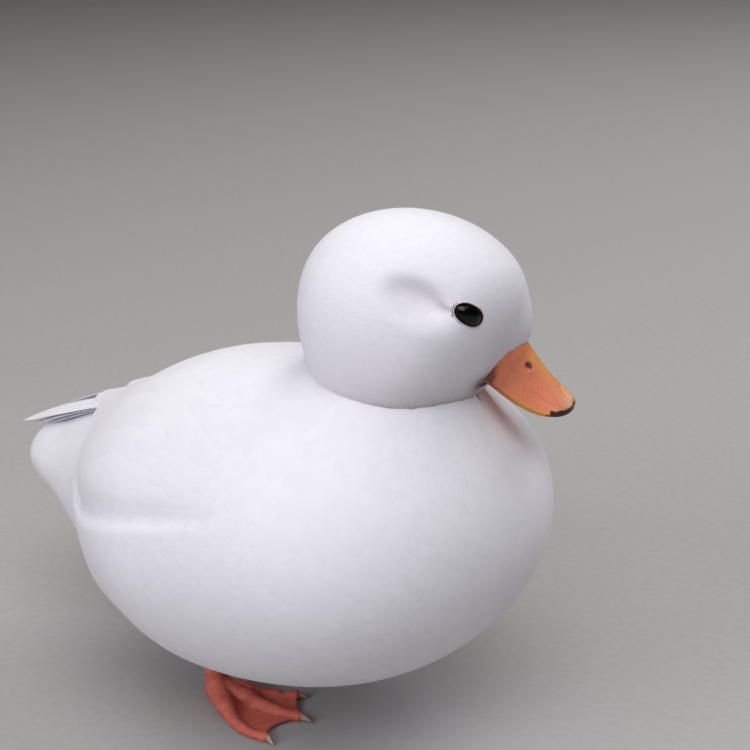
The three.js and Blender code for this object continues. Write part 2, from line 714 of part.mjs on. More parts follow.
function makeFoot(foot) {
  const path = toePath(HIND_TOE, foot);
  const back = loft(
    [-0.3, 0.3, 0.7, 1].map((t) => {
      const centre = add(path(t), [0, 0, mix(HIND_TOE.lift, 2.6, t)]);
      const r = mix(2.3, 1.1, t);
      return [0, 1, 2, 3, 4, 5].map((i) => {
        const a = (i / 6) * 2 * Math.PI;
        return add(centre, [0, r * Math.cos(a), r * Math.sin(a)]);
      });
    }),
  );
  const [inner, middle, outer] = TOES;
  const pieces = TOES.map((toe) => makeToe(toe, foot));
  const webs = [makeWeb(inner, middle, foot), makeWeb(middle, outer, foot)];
  const ankle = makeShank(foot).subtract(halfSpace([0, 0, SHANK.seam], [0, 0, 1]));
  return largest(join([...pieces, ...webs, back, ankle]).subtract(halfSpace([0, 0, 0], [0, 0, -1])));
}

function makeClaw(toe, foot) {
  const path = toePath(toe, foot);
  const { way, across } = toeWay(path, 0.96);
  const rings = [0, 0.35, 0.7, 1].map((t) => {
    const centre = add(add(path(0.96), way, GAP + toe.claw * t), [0, 0, mix(1.7, 0.75, t * t)]);
    const r = mix(1.5, 0.35, t);
    return [0, 1, 2, 3, 4, 5].map((i) => {
      const a = (i / 6) * 2 * Math.PI;
      return add(add(centre, across, r * 0.8 * Math.cos(a)), [0, 0, 1], r * Math.sin(a));
    });
  });
  return loft(rings);
}

function makeShank(foot) {
  return loft(
    [0, 0.3, 0.6, 1].map((t) => {
      const centre = [foot.at[0] - SHANK.lean * t, foot.at[1], mix(SHANK.low, SHANK.high, t)];
      const r = mix(SHANK.r[0], SHANK.r[1], t);
      return Array.from({ length: 10 }, (_, i) => {
        const a = (i / 10) * 2 * Math.PI;
        return add(centre, [1.15 * r * Math.cos(a), r * Math.sin(a), 0]);
      });
    }),
  );
}

function makeLeg(foot) {
  const above = halfSpace([0, 0, SHANK.seam + GAP], [0, 0, 1]);
  return largest(makeShank(foot).intersect(above).subtract(trunkClear));
}

// ---------------------------------------------------------------- assembly
const duck = new THREE.Group();

function place(name, solid, material) {
  const mesh = new THREE.Mesh(geometryOf(solid), material.clone());
  mesh.name = name;
  duck.add(mesh);
}

const SIDES = { right: -1, left: 1 };
const eyeballs = { right: makeEyeball(SIDES.right, 0), left: makeEyeball(SIDES.left, 0) };
const sockets = join(Object.values(SIDES).map((side) => makeEyeball(side, GAP)));
const lids = join(Object.values(SIDES).map(makeLids));
const upperBill = makeUpperBill().subtract(headClear).subtract(trunkClear);
const lowerBill = makeLowerBill().subtract(headClear).subtract(trunkClear);

place("torso", torso, WHITE_FEATHER);
place("neck", neck, WHITE_FEATHER);
place("head", largest(join([head, lids]).subtract(sockets)), WHITE_FEATHER);
place("bill_upper", largest(upperBill.subtract(nailCut(0))), ORANGE_BILL);
place("bill_nail", largest(upperBill.intersect(nailCut(GAP))), DARK_NAIL);
place("bill_lower", largest(lowerBill), ORANGE_BILL);
place("tail", tail, WHITE_FEATHER);
for (const [name, side] of Object.entries(SIDES)) {
  const foot = side < 0 ? RIGHT_FOOT : LEFT_FOOT;
  place("eye_" + name, eyeballs[name], EYE_DARK);
  place("wing_" + name, makeWing(side), WHITE_FEATHER);
  place("leg_" + name, makeLeg(foot), ORANGE_SKIN);
  place("foot_" + name, makeFoot(foot), ORANGE_SKIN);
  for (const toe of TOES) place("claw_" + toe.name + "_" + name, makeClaw(toe, foot), CLAW_HORN);
}

// The origin goes to the middle of the model's box, at the floor.
const box = new THREE.Box3().setFromObject(duck);
const middle = box.getCenter(new THREE.Vector3());
duck.position.set(-middle.x, -middle.y, -box.min.z);

export default duck;
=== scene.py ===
# A white call duck: skin, plumage, bill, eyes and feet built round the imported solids.
# Forms are worked out in the duck's own frame, in millimetres: +X forward, +Y its left, +Z up, floor z = 0.
import math

import bpy
import numpy as np
from mathutils import Matrix, Vector
from mathutils.kdtree import KDTree


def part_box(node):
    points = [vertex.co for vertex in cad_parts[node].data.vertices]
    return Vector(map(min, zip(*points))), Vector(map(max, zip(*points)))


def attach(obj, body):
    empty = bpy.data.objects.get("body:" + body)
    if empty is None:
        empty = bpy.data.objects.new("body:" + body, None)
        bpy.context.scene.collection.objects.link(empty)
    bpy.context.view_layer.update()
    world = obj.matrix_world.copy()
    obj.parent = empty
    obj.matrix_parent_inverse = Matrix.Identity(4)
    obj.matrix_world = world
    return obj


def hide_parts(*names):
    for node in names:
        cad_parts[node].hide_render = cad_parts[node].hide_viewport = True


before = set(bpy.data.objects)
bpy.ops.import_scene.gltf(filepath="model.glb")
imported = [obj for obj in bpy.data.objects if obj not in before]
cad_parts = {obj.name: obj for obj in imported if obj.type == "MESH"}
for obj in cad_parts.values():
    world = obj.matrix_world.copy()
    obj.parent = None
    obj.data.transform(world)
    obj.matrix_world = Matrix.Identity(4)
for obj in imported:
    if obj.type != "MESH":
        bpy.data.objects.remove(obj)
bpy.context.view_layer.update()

MM = 0.001
BODY = "root"
SIDES = {"right": -1, "left": 1}
rng = np.random.default_rng(1060)

# ---- driving dimensions (millimetres, degrees)
# The body's forms are ellipsoids; blend says how softly each joins the ones before it.
BREAST = {"at": (38.2, 0, 82.2), "r": (52.6, 64.8, 48)}
BELLY = {"at": (-6.5, 0, 72.3), "r": (70.3, 68.9, 55.9), "blend": 26}
RUMP = {"at": (-43.4, 0, 73.9), "r": (50.6, 42.8, 32.6), "pitch": -6, "blend": 26}
TAIL_BASE = {"at": (-101.5, 0, 70.6), "r": (35.4, 28.3, 16.1), "pitch": -2, "blend": 20}
VENT = {"at": (-67.1, 0, 63.3), "r": (39.6, 32.2, 25.9), "pitch": 14, "blend": 20}
FLANK = {"at": (-41.5, 25.2, 55.2), "r": (28.5, 24.3, 22), "pitch": -10, "blend": 10}
NECK = {"low": (42, 0, 95.4), "high": (50.6, 0.1, 145.8), "r": (27.7, 19.8), "blend": 21}
CHEEK_FOLD = 2.5  # how softly the head joins the neck

HEAD = {"at": (51.8, 6, 153.8), "yaw": 41.1, "pitch": 12.7}
SKULL = {"at": (0, 0, 4), "r": (36.2, 31.4, 27)}  # from here to the eye's crease: in the head's own frame
CHEEK = {"at": (1.2, 8.9, -10.3), "r": (32.1, 21.5, 27.2), "blend": 14}
FOREHEAD = {"at": (25.6, 0, -1.2), "r": (10.6, 7, 10), "blend": 8}
BROW_GROOVE = {"at": (-1.4, 36.6, 12.5), "r": (12.6, 11.4, 5.8), "pitch": 14, "blend": 5}
EYE = {"at": (15.7, 29.4, 9.9), "r": (6.0, 4.2, 5.0), "forward": 0.4, "sunk": 3.9, "tilt": 15}
EYE_GRID = (48, 64)
LID = {"long": 5.1, "high": 3.15, "deep": 10, "r": 0.3, "lift": 0.12, "power": 2.3, "grid": (96, 14)}
EYE_CREASE_SHADE = {"front": (11.2, 0, 10.0), "back": (0.5, 0, 12.0), "r": (0.6, 2.6)}  # a painted shade line behind the eye, fading into the brow groove

# The bill's own frame starts at the corner of the mouth. Its sides narrow the face in front of the cheeks.
BILL = {"at": (25.6, 0, -14.8), "pitch": 11.9, "length": 31.2, "sag": 4.8, "back": -8}
CULMEN = {"tip": 1.3, "rise": 13.2, "from": 7, "run": 24, "power": 1.35, "root_slope": 0.06, "root": 8}
BILL_WIDTH = {"root": 12.3, "middle": 10.2, "flare": 1.2, "tip_from": 24, "power": 2.2}
FACE_SIDE = {"through": (0, 16.5, 0), "normal": (0.74, 0.463, -0.154), "blend": 18}
NOSTRIL = {"along": 11.4, "up": 7.6, "long": 1.5, "high": 0.8, "deep": 1.2, "pitch": 24}
NAIL = {"back": 2.6, "long": 4.2, "wide": 3.7, "high": 0.3}
SPECK = {"at": (22.9, -8.4, 1.5), "r": 0.55}  # one small dark mark on the right side
BILL_ROWS = {"upper": (150, 80, 16), "lower": (90, 30, 10)}  # rings, points over the arch, points across it

WING = {"axis": 75, "rear": -98, "rear_lift": 3.8}
# The folded wing's edges, as angles round the body from straight up.
WING_LOWER = {"middle": 75.5, "slope": 0.235, "rear": 40, "rear_from": -58, "shoulder": 13}
WING_UPPER = {"rear": 11, "front": 50, "from": -48, "to": 46}
FOLD = {"depth": 2.6, "above": 8.5, "below": 1.8}  # where the flank closes over the wing's lower edge
# Each tier of wing feathers: how many across, where they start and where they end along the body.
WING_TIERS = (
    (12, 36, 13),
    (13, 24, 1),
    (14, 12, -12),
    (14, 0, -26),
    (13, -14, -41),
    (12, -28, -57),
    (10, -42, -74),
    (8, -58, -89),
    (5, -74, -100),
)
PRIMARIES = {"count": 6, "half": 5.4, "slant": 0.2}
PRIMARY_LINE = ((-66, 16, 104.5), (-108, 13, 92.5), (-146, 8, 75.8))  # the top one's root, bend and tip
PRIMARY_STEP = {"back": 5.0, "out": -0.3, "down": 0.36, "narrower": 0.1}  # from each to the one below it
RECTRICES = {"count": 14, "from": -108, "spread": 56, "reach": (35.2, 26.3), "half": 6.2, "droop": 3}
TAIL_AXIS = 70
TAIL_TIERS = (
    {"count": 12, "from": -96, "to": -118, "low": -90, "high": 90, "lift": 0.14},
    {"count": 12, "from": -96, "to": -120, "low": 90, "high": 270, "lift": 0.18},
    {"count": 12, "from": -109, "to": -131, "low": -90, "high": 90, "lift": 0.06},
    {"count": 11, "from": -109, "to": -131, "low": 90, "high": 270, "lift": 0.1},
)

COAT_DEPTH = {"body": 1.0, "head": 0.45}  # how far the skin lies under the feathers' outer face
SKIN_STEP = 2.0
SKIN_BOX = ((-142, -76, 10), (104, 76, 190))  # where the skin's surface is looked for
HEAD_FEATHER = {"spacing": 0.9, "face": 2.0, "cheek": 4.0, "nape": 6.5}
RIM_FEATHER = {"spacing": 0.48, "share": 0.62, "reach": 4.5}  # the densest ones, round the eyes and the bill
FACE_BACK = 12.0  # where the face's coat ends and the nape's starts, along the head
BODY_FEATHER = {"spacing": 2.55, "neck": 8.5, "back": 13.5}
BODY_PIECES = 4
SHADE_SHARE = 0.78  # how far a feather's shading follows the coat's face instead of its own
BAKE_PATCH = 0.003  # a small feather's patch in the map OFBake
VANE_PATCH = 0.006  # a long feather's

FEET = {"right": {"at": (-25.2, -21.4), "yaw": 11.5}, "left": {"at": (-29.5, 28.0), "yaw": 4.0}}
TOES = {
    "inner": {"side": -1, "angle": 25, "bend": 0, "length": 30, "claw": 3.4},
    "middle": {"side": 0, "angle": 0, "bend": 0, "length": 37, "claw": 4.2},
    "outer": {"side": 1, "angle": 42, "bend": 17, "length": 38.5, "claw": 3.6},
}
HIND_TOE = {"length": 9, "angle": 150, "r": (2.3, 1.1), "height": (5, 2.6)}
SHANK = {"low": 4, "high": 36, "lean": 3, "r": (3.5, 5.0)}
TOE_END = 0.96
CLAW_GAP = 0.3
WEB_HALF = 0.55
WEB_REACH = 0.94  # how far the webs reach along the toes, as a share of their length
WEBS = (("inner", "middle", 0.03), ("middle", "outer", 0.12))  # the last is how much the free edge curves in
FOOT_STEP = 0.6
FOOT_BOX = ((-13, -26, -1.2), (42, 28, 34))  # where its surface is looked for, from the heel
TOE_R = {"root": 4.2, "tip": 1.65, "swell": 0.22}
CLAW_R = {"root": 1.45, "tip": 0.2, "height": (1.7, 0.6), "sunk": 0.5}

# The camera, as the photograph was taken: where it looks from and what it looks at.
CAMERA = {"azimuth": 46.41, "elevation": 22.08, "distance": 608.36, "pivot": (0, 0, 90)}
CAMERA_AIM = {"across": 28.44, "height": 120.68, "roll": -2.57}
PHOTO_SIZE = 750
PHOTO_FOCUS = 1771.03  # the lens's focal length in photograph pixels
SENSOR = 36
BATCH = 400000  # places worked out at a time

# Lights: place and size in metres, strength in watts.
LIGHTS = {
    "top_light": {"place": (0, 0, 1.6), "size": 3.0, "watts": 17.5, "colour": (1.0, 1.0, 0.88)},
    "front_light": {"place": (0.8, -0.6, 1.4), "size": 1.2, "watts": 12.8, "colour": (0.95, 0.93, 1.0)},
    "right_light": {"place": (-0.25, -1.4, 0.75), "size": 0.8, "watts": 9.0, "colour": (0.97, 0.95, 1.0)},
    "left_light": {"place": (0.1, 1.3, 1.2), "size": 1.0, "watts": 9.2, "colour": (0.95, 0.93, 1.0)},
}
SKY = {"colour": (0.95, 0.95, 1.0), "strength": 0.04}

WHITE = (0.862, 0.858, 0.93)
CREAM = (0.83, 0.80, 0.80)
DOWN = (0.80, 0.795, 0.86)
# a brown for the mouth's corner and the bill's root, also used as painted shade where the cheek folds over
# the neck and along a line behind the eye
STAIN_AND_SHADE = (0.20, 0.09, 0.08)
BILL_SALMON = (0.80, 0.25, 0.13)
BILL_YELLOW = (0.82, 0.36, 0.085)
BILL_PALE = (0.86, 0.64, 0.42)
BILL_BROWN = (0.19, 0.052, 0.038)
BILL_DARK = (0.045, 0.014, 0.010)
FOOT_LOW = (0.66, 0.14, 0.10)
FOOT_HIGH = (0.86, 0.22, 0.14)
# painted shade for the grooves between the foot's scales
FOOT_CREASE_SHADE = (0.40, 0.08, 0.055)
CLAW_DARK = (0.36, 0.22, 0.13)
CLAW_PALE = (0.62, 0.48, 0.35)
LID_DARK = (0.05, 0.025, 0.022)
LID_PINK = (0.70, 0.61, 0.63)
PUPIL = (0.0015, 0.0015, 0.002)
IRIS_DARK = (0.012, 0.006, 0.005)
IRIS_BROWN = (0.035, 0.014, 0.010)
EYE_CORNER = (0.16, 0.045, 0.035)
FLOOR_GREYS = ((0.40, 0.396, 0.388), (0.43, 0.426, 0.418))


# ---- small mathematics
def mix(a, b, t):
    return a + (b - a) * t


def clamp(x):
    return np.clip(x, 0, 1)


def smooth(a, b, x):
    t = clamp((x - a) / (b - a))
    return t * t * (3 - 2 * t)


def hump(x, width):
    return np.exp(-((x / width) ** 2))


def unit(v):
    return v / np.maximum(np.linalg.norm(v, axis=-1, keepdims=True), 1e-9)


def xyz(x, y, z):
    return np.stack(np.broadcast_arrays(x, y, z), axis=-1)


def circle(count):
    return np.linspace(0, 2 * math.pi, count, endpoint=False)


def slanted(x, z, degrees):
    """Two coordinates turned by an angle in their own plane."""
    c, s = math.cos(math.radians(degrees)), math.sin(math.radians(degrees))
    return c * x - s * z, s * x + c * z


def turn(yaw, pitch):
    """The rotation of a frame turned left by yaw and nose down by pitch."""
    return np.array(Matrix.Rotation(math.radians(yaw), 3, "Z") @ Matrix.Rotation(math.radians(pitch), 3, "Y"))


def toe_direction(foot, toe, t):
    side = math.copysign(1, foot["at"][1]) * toe["side"]
    return np.radians(foot["yaw"] + side * (toe["angle"] - toe["bend"] * t**3))


def toe_point(foot, toe, t):
    """Places along a toe, on the floor."""
    way = toe_direction(foot, toe, t)
    x = foot["at"][0] + np.cos(way) * toe["length"] * t
    y = foot["at"][1] + np.sin(way) * toe["length"] * t
    return xyz(x, y, 0.0)


def duck_origin():
    """The duck's own origin in the row's frame, from a claw's tip and the middle of the torso."""
    foot, toe = FEET["left"], TOES["middle"]
    tip = toe_point(foot, toe, np.array([TOE_END]))[0, 0]
    tip += math.cos(math.radians(foot["yaw"])) * (CLAW_GAP + toe["claw"])
    low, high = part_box("torso")
    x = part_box("claw_middle_left")[1].x / MM - tip
    return np.array([x, (low.y + high.y) / 2 / MM, 0])


ORIGIN = duck_origin()


def row(points):
    return (np.asarray(points, float) + ORIGIN) * MM


# ---- the body as distance functions
HEAD_TURN = turn(HEAD["yaw"], HEAD["pitch"])
BILL_TURN = HEAD_TURN @ turn(0, BILL["pitch"])
HEAD_AT = np.array(HEAD["at"])
BILL_AT = HEAD_TURN @ np.array(BILL["at"]) + HEAD_AT
UP = np.array([0, 0, 1])
BODY_MIDDLE = np.array([5.0, 0, 82])
TAIL_MIDDLE = np.array([-60.0, 0, 72])


def to_head(p):
    return (p - HEAD_AT) @ HEAD_TURN


def from_head(q):
    return q @ HEAD_TURN.T + HEAD_AT


def to_bill(p):
    return (p - BILL_AT) @ BILL_TURN


def from_bill(q):
    return q @ BILL_TURN.T + BILL_AT


def form(p, shape):
    """How far places lie outside an ellipsoid, about; negative inside."""
    x, y, z = (p - np.array(shape["at"])).T
    x, z = slanted(x, z, shape.get("pitch", 0))
    q = xyz(x, y, z)
    near = np.linalg.norm(q / np.array(shape["r"]), axis=1)
    slope = np.linalg.norm(q / np.square(shape["r"]), axis=1)
    return near * (near - 1) / np.maximum(slope, 1e-9)


def blend(a, b, k):
    """Two forms as one, with a soft fillet of size k between them."""
    h = np.maximum(k - np.abs(a - b), 0) / k
    return np.minimum(a, b) - h * h * k / 4


def mirrored(p, side):
    return p * np.array([1, side, 1])


def body(p):
    d = form(p, BREAST)
    for shape in (BELLY, RUMP, TAIL_BASE, VENT):
        d = blend(d, form(p, shape), shape["blend"])
    for side in SIDES.values():
        d = blend(d, form(mirrored(p, side), FLANK), FLANK["blend"])
    return d


def segment(p, low, high, low_r=0, high_r=0):
    """A round rod between two points, with a radius at each."""
    low = np.array(low)
    line = np.array(high) - low
    t = clamp((p - low) @ line / np.dot(line, line))
    return np.linalg.norm(p - low - t[:, None] * line, axis=1) - mix(low_r, high_r, t)


def head(p):
    q = to_head(p)
    d = form(q, SKULL)
    for side in SIDES.values():
        d = blend(d, form(mirrored(q, side), CHEEK), CHEEK["blend"])
        d = -blend(-d, form(mirrored(q, side), BROW_GROOVE), BROW_GROOVE["blend"])
    face = to_bill(p)
    face[:, 1] = np.abs(face[:, 1])
    side_cut = (face - np.array(FACE_SIDE["through"])) @ unit(np.array(FACE_SIDE["normal"]))
    d = -blend(-d, -side_cut, FACE_SIDE["blend"])
    return blend(d, form(q, FOREHEAD), FOREHEAD["blend"])


def wing_lower(x):
    edge, rear = WING_LOWER, WING["rear"]
    angle = mix(edge["middle"] - edge["slope"] * x, edge["rear"], smooth(edge["rear_from"], rear - 2, x))
    return angle - edge["shoulder"] * smooth(28, 48, x)


def wing_upper(x):
    return mix(WING_UPPER["rear"], WING_UPPER["front"], smooth(WING_UPPER["from"], WING_UPPER["to"], x))


def wing_rise(x):
    """How far the wing's rear stands off the body."""
    rear = WING["rear"]
    return WING["rear_lift"] * smooth(-56, -92, x) * (1 - smooth(rear + 4, rear - 3, x))


def round_body(p):
    """The angle of a place round the body, from straight up."""
    return np.degrees(np.arctan2(np.abs(p[:, 1]), p[:, 2] - WING["axis"]))


def above_wing_edge(p):
    """How far a place lies above the wing's lower edge, round the body."""
    away = np.hypot(p[:, 1], p[:, 2] - WING["axis"])
    return np.radians(wing_lower(p[:, 0]) - round_body(p)) * away


def wing_fold(p):
    """The wing turns in softly towards its lower edge, where the flank feathers close over it."""
    above = above_wing_edge(p)
    along = smooth(-74, -57, p[:, 0]) * (1 - smooth(-5, 45, p[:, 0])) * smooth(60, 80, round_body(p))
    return along * FOLD["depth"] * hump(above, np.where(above > 0, FOLD["above"], FOLD["below"]))


def plain_trunk(p):
    """Body and neck without the wings' folds."""
    return blend(body(p), segment(p, NECK["low"], NECK["high"], *NECK["r"]), NECK["blend"])


def trunk(p):
    """The outer face of the coat on body and neck: negative inside."""
    return plain_trunk(p) + wing_fold(p)


def plumage(p):
    return blend(trunk(p), head(p), CHEEK_FOLD)


def in_pieces(function, p):
    return np.concatenate([function(p[i : i + BATCH]) for i in range(0, len(p), BATCH)])


def normals(distance, p, e=0.4):
    slopes = [in_pieces(distance, p + step) - in_pieces(distance, p - step) for step in np.eye(3) * e]
    return unit(np.stack(slopes, axis=1))


# ---- meshes
def placed(name, data):
    thing = bpy.data.objects.new(name, data)
    bpy.context.scene.collection.objects.link(thing)
    return thing


def make_piece(name, points, faces, look, maps=(), layers=()):
    """A mesh object from points in duck millimetres and faces of equal size, riding on the body."""
    faces = np.asarray(faces, np.int32)
    count, corners = faces.shape
    mesh = bpy.data.meshes.new(name)
    mesh.vertices.add(len(points))
    mesh.vertices.foreach_set("co", row(points).astype(np.float32).ravel())
    mesh.loops.add(count * corners)
    mesh.loops.foreach_set("vertex_index", faces.ravel())
    mesh.polygons.add(count)
    mesh.polygons.foreach_set("loop_start", np.arange(0, count * corners, corners, dtype=np.int32))
    mesh.polygons.foreach_set("use_smooth", np.ones(count, bool))
    for layer, uv in dict(maps).items():
        data = mesh.uv_layers.new(name=layer).data
        data.foreach_set("uv", uv[faces.ravel()].astype(np.float32).ravel())
    mesh.update(calc_edges=True)
    mesh.validate()
    mesh.materials.append(MATERIALS[look])
    piece = placed(name, mesh)
    for layer, values in dict(layers).items():
        data = mesh.attributes.new(layer, "FLOAT", "POINT").data
        data.foreach_set("value", np.asarray(values, np.float32))
    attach(piece, BODY)
    return piece


def facing_out(points, faces):
    """The faces of a closed form, quads, turned over if they face in."""
    a, b, c, d = (points[faces[:, n]] for n in range(4))
    volume = np.sum(a * np.cross(b, c)) + np.sum(a * np.cross(c, d))
    return faces if volume > 0 else faces[:, ::-1]


def tube(rings):
    """A closed form over an array of rings of points, gathered to a point at both ends."""
    first, last = (np.broadcast_to(rings[n].mean(axis=0), rings[n].shape) for n in (0, -1))
    rings = np.concatenate((first[None], rings, last[None]))
    rows, columns = rings.shape[:2]
    points = rings.reshape(-1, 3)
    return points, facing_out(points, grid_faces(rows, columns, True))


def grid_faces(rows, columns, round_columns, round_rows=False):
    """Quads over a grid of points, which may close on itself along its rows or its columns."""
    i, j = np.indices((rows - (not round_rows), columns - (not round_columns))).reshape(2, -1)
    here, below, beside = i * columns, (i + 1) % rows * columns, (j + 1) % columns
    return np.stack((here + j, below + j, below + beside, here + beside), axis=1)


def part_of(a, start, size):
    x, y, z = start
    return a[x : x + size[0], y : y + size[1], z : z + size[2]]


def surface_net(distance, low, high, step):
    """One point in each grid cell that the surface crosses, joined to its neighbours by quads."""
    axes = [np.arange(a, b + step, step) for a, b in zip(low, high)]
    grid = np.stack(np.meshgrid(*axes, indexing="ij"), axis=-1)
    shape = grid.shape[:3]
    value = in_pieces(distance, grid.reshape(-1, 3)).reshape(shape)
    inside = value < 0
    cells = tuple(n - 1 for n in shape)
    total = np.zeros(cells + (3,))
    crossings = np.zeros(cells)
    for a in [(i, j, k) for i in (0, 1) for j in (0, 1) for k in (0, 1)]:
        for axis in range(3):
            if a[axis]:
                continue
            b = tuple(1 if n == axis else v for n, v in enumerate(a))
            here, ahead = part_of(value, a, cells), part_of(value, b, cells)
            crossed = (here < 0) != (ahead < 0)
            share = np.where(crossed, here / np.where(crossed, here - ahead, 1), 0)
            for n in range(3):
                total[..., n] += crossed * (a[n] + (share if n == axis else 0))
            crossings += crossed
    used = crossings > 0
    index = np.full(cells, -1, np.int64)
    index[used] = np.arange(used.sum())
    points = np.argwhere(used) + total[used] / crossings[used][:, None]
    points = points * step + np.array(low)
    for _ in range(2):
        points -= in_pieces(distance, points)[:, None] * normals(distance, points)
    quads = []
    for axis in range(3):
        u, w = (axis + 1) % 3, (axis + 2) % 3
        here = [slice(1, n - 1) for n in shape]
        ahead = list(here)
        ahead[axis] = slice(2, shape[axis])
        crossed = inside[tuple(here)] != inside[tuple(ahead)]
        at = np.argwhere(crossed) + 1
        outward = inside[tuple(here)][crossed]
        ring = []
        for du, dw in ((1, 1), (0, 1), (0, 0), (1, 0)):
            back = at.copy()
            back[:, u] -= du
            back[:, w] -= dw
            ring.append(index[back[:, 0], back[:, 1], back[:, 2]])
        ring = np.stack(ring, axis=1)
        ring[~outward] = ring[~outward][:, ::-1]
        quads.append(ring)
    return points, np.concatenate(quads)


def spread(points, quads, spacing):
    """Random places on a surface, none nearer to another than the spacing."""
    a, b, c, d = (points[quads[:, n]] for n in range(4))
    area = np.linalg.norm(np.cross(c - a, d - b), axis=1) / 2
    count = int(4 * area.sum() / spacing**2)
    chosen = rng.choice(len(quads), count, p=area / area.sum())
    u, v = rng.random((2, count, 1))
    places = mix(mix(a[chosen], b[chosen], u), mix(d[chosen], c[chosen], u), v)
    tree = KDTree(count)
    for n, place in enumerate(places):
        tree.insert(place, n)
    tree.balance()
    free = np.ones(count, bool)
    kept = []
    for n, place in enumerate(places):
        if free[n]:
            kept.append(n)
            for _, near, _ in tree.find_range(place, spacing):
                free[near] = False
    return places[kept]


# ---- materials
class Look:
    """A material, its shader and short calls that make its nodes. Noises lie in object millimetres."""

    def __init__(self, name, colour, roughness, **settings):
        self.made = bpy.data.materials.new(name)
        self.made.use_nodes = True
        self.tree = self.made.node_tree
        self.shader = self.tree.nodes["Principled BSDF"]
        settings.update(base_color=(*colour, 1), roughness=roughness)
        for key, value in settings.items():
            socket = key.replace("_", " ").title().replace("Ior", "IOR")
            self.shader.inputs[socket].default_value = value
        where = self.node("ShaderNodeTexCoord").outputs["Object"]
        values = {0: where, 1: (1 / MM, 1 / MM, 1 / MM)}
        self.at = self.node("ShaderNodeVectorMath", values, operation="MULTIPLY").outputs[0]

    def fill(self, socket, value):
        if isinstance(value, bpy.types.NodeSocket):
            self.tree.links.new(value, socket)
        else:
            socket.default_value = value

    def node(self, kind, values=(), **settings):
        made = self.tree.nodes.new(kind)
        for key, value in settings.items():
            setattr(made, key, value)
        for key, value in dict(values).items():
            self.fill(made.inputs[key], value)
        return made

    def noise(self, scale, detail=3, rough=0.5, at=None):
        at = self.at if at is None else at
        values = {"Vector": at, "Scale": scale, "Detail": detail, "Roughness": rough}
        return self.node("ShaderNodeTexNoise", values).outputs["Fac"]

    def ramp(self, value, *stops):
        """Greys or colours by value, from two stops of a place and a grey or colour."""
        made = self.node("ShaderNodeValToRGB", {"Fac": value})
        for element, (at, colour) in zip(made.color_ramp.elements, stops):
            element.position = at
            element.color = (*colour, 1) if isinstance(colour, tuple) else (colour, colour, colour, 1)
        return made.outputs["Color"]

    def mixed(self, share, a, b, how="MIX"):
        a, b = ((*v, 1) if isinstance(v, tuple) else v for v in (a, b))
        values = {"Factor": share, 6: a, 7: b}
        return self.node("ShaderNodeMix", values, data_type="RGBA", blend_type=how).outputs[2]

    def maths(self, how, a, b=0.0, c=0.0):
        return self.node("ShaderNodeMath", {0: a, 1: b, 2: c}, operation=how).outputs[0]

    def times(self, a, b):
        return self.maths("MULTIPLY", a, b)

    def around_half(self, value, gain, base):
        """What a noise adds to or takes from a base."""
        return self.maths("MULTIPLY_ADD", self.maths("SUBTRACT", value, 0.5), gain, base)

    def layer(self, name):
        return self.node("ShaderNodeAttribute", attribute_name=name).outputs["Fac"]

    def paint(self, colour, rough=None, bump=None):
        """Links the colour, a roughness, and a bump of a height, strength and depth in millimetres."""
        self.fill(self.shader.inputs["Base Color"], colour)
        if rough:
            self.fill(self.shader.inputs["Roughness"], rough)
        if bump:
            height, strength, depth = bump
            values = {"Height": height, "Strength": strength, "Distance": depth * MM}
            self.fill(self.shader.inputs["Normal"], self.node("ShaderNodeBump", values).outputs[0])
        return self.made


def barbs(look):
    """Fine slanting strands on both sides of a raised shaft, in each feather's own map."""
    vane = look.node("ShaderNodeSeparateXYZ", {0: look.node("ShaderNodeUVMap", uv_map="Vane").outputs[0]})
    aside = look.maths("ABSOLUTE", look.maths("SUBTRACT", vane.outputs[0], 0.5))
    along = look.times(look.maths("MULTIPLY_ADD", aside, -0.9, vane.outputs[1]), 42.0)
    strands = look.node("ShaderNodeCombineXYZ", {0: along, 1: aside, 2: look.layer("tone")})
    shaft = look.ramp(aside, (0.0, 1), (0.035, 0))
    return look.maths("MULTIPLY_ADD", shaft, 0.3, look.noise(1.0, 2, at=strands.outputs[0]))


def plumage_material():
    """White feathers with fine barbs, a faint cream bloom, brown round the mouth, and painted shade under the
    cheek and behind the eye.
    """
    look = Look("plumage", WHITE, 0.6, sheen_weight=0.2, sheen_roughness=0.5, specular_ior_level=0.2)
    bloom = look.mixed(look.times(look.noise(0.035, 2), 0.16), WHITE, CREAM)
    own = look.ramp(look.layer("tone"), (0, 0.968), (1, 1))
    shade = look.mixed(1.0, bloom, own, "MULTIPLY")
    # the stain_and_shade layer mixes in brown round the mouth and painted shade under the cheek and behind
    # the eye
    return look.paint(look.mixed(look.layer("stain_and_shade"), shade, STAIN_AND_SHADE), bump=(barbs(look), 0.45, 0.12))


def skin_material():
    """The soft down under the feathers."""
    look = Look("down", WHITE, 0.85, specular_ior_level=0.1)
    tufts = look.noise(0.9, 4, 0.6)
    down = look.ramp(tufts, (0.3, DOWN), (0.7, WHITE))
    # the stain_and_shade layer also carries painted shade under the cheek and behind the eye
    return look.paint(look.mixed(look.layer("stain_and_shade"), down, STAIN_AND_SHADE), bump=(tufts, 0.4, 0.3))


def fleshy(weight, radius, scale_mm):
    """Settings for light that sinks a little way in and comes out again."""
    return {"subsurface_weight": weight, "subsurface_radius": radius, "subsurface_scale": scale_mm * MM}


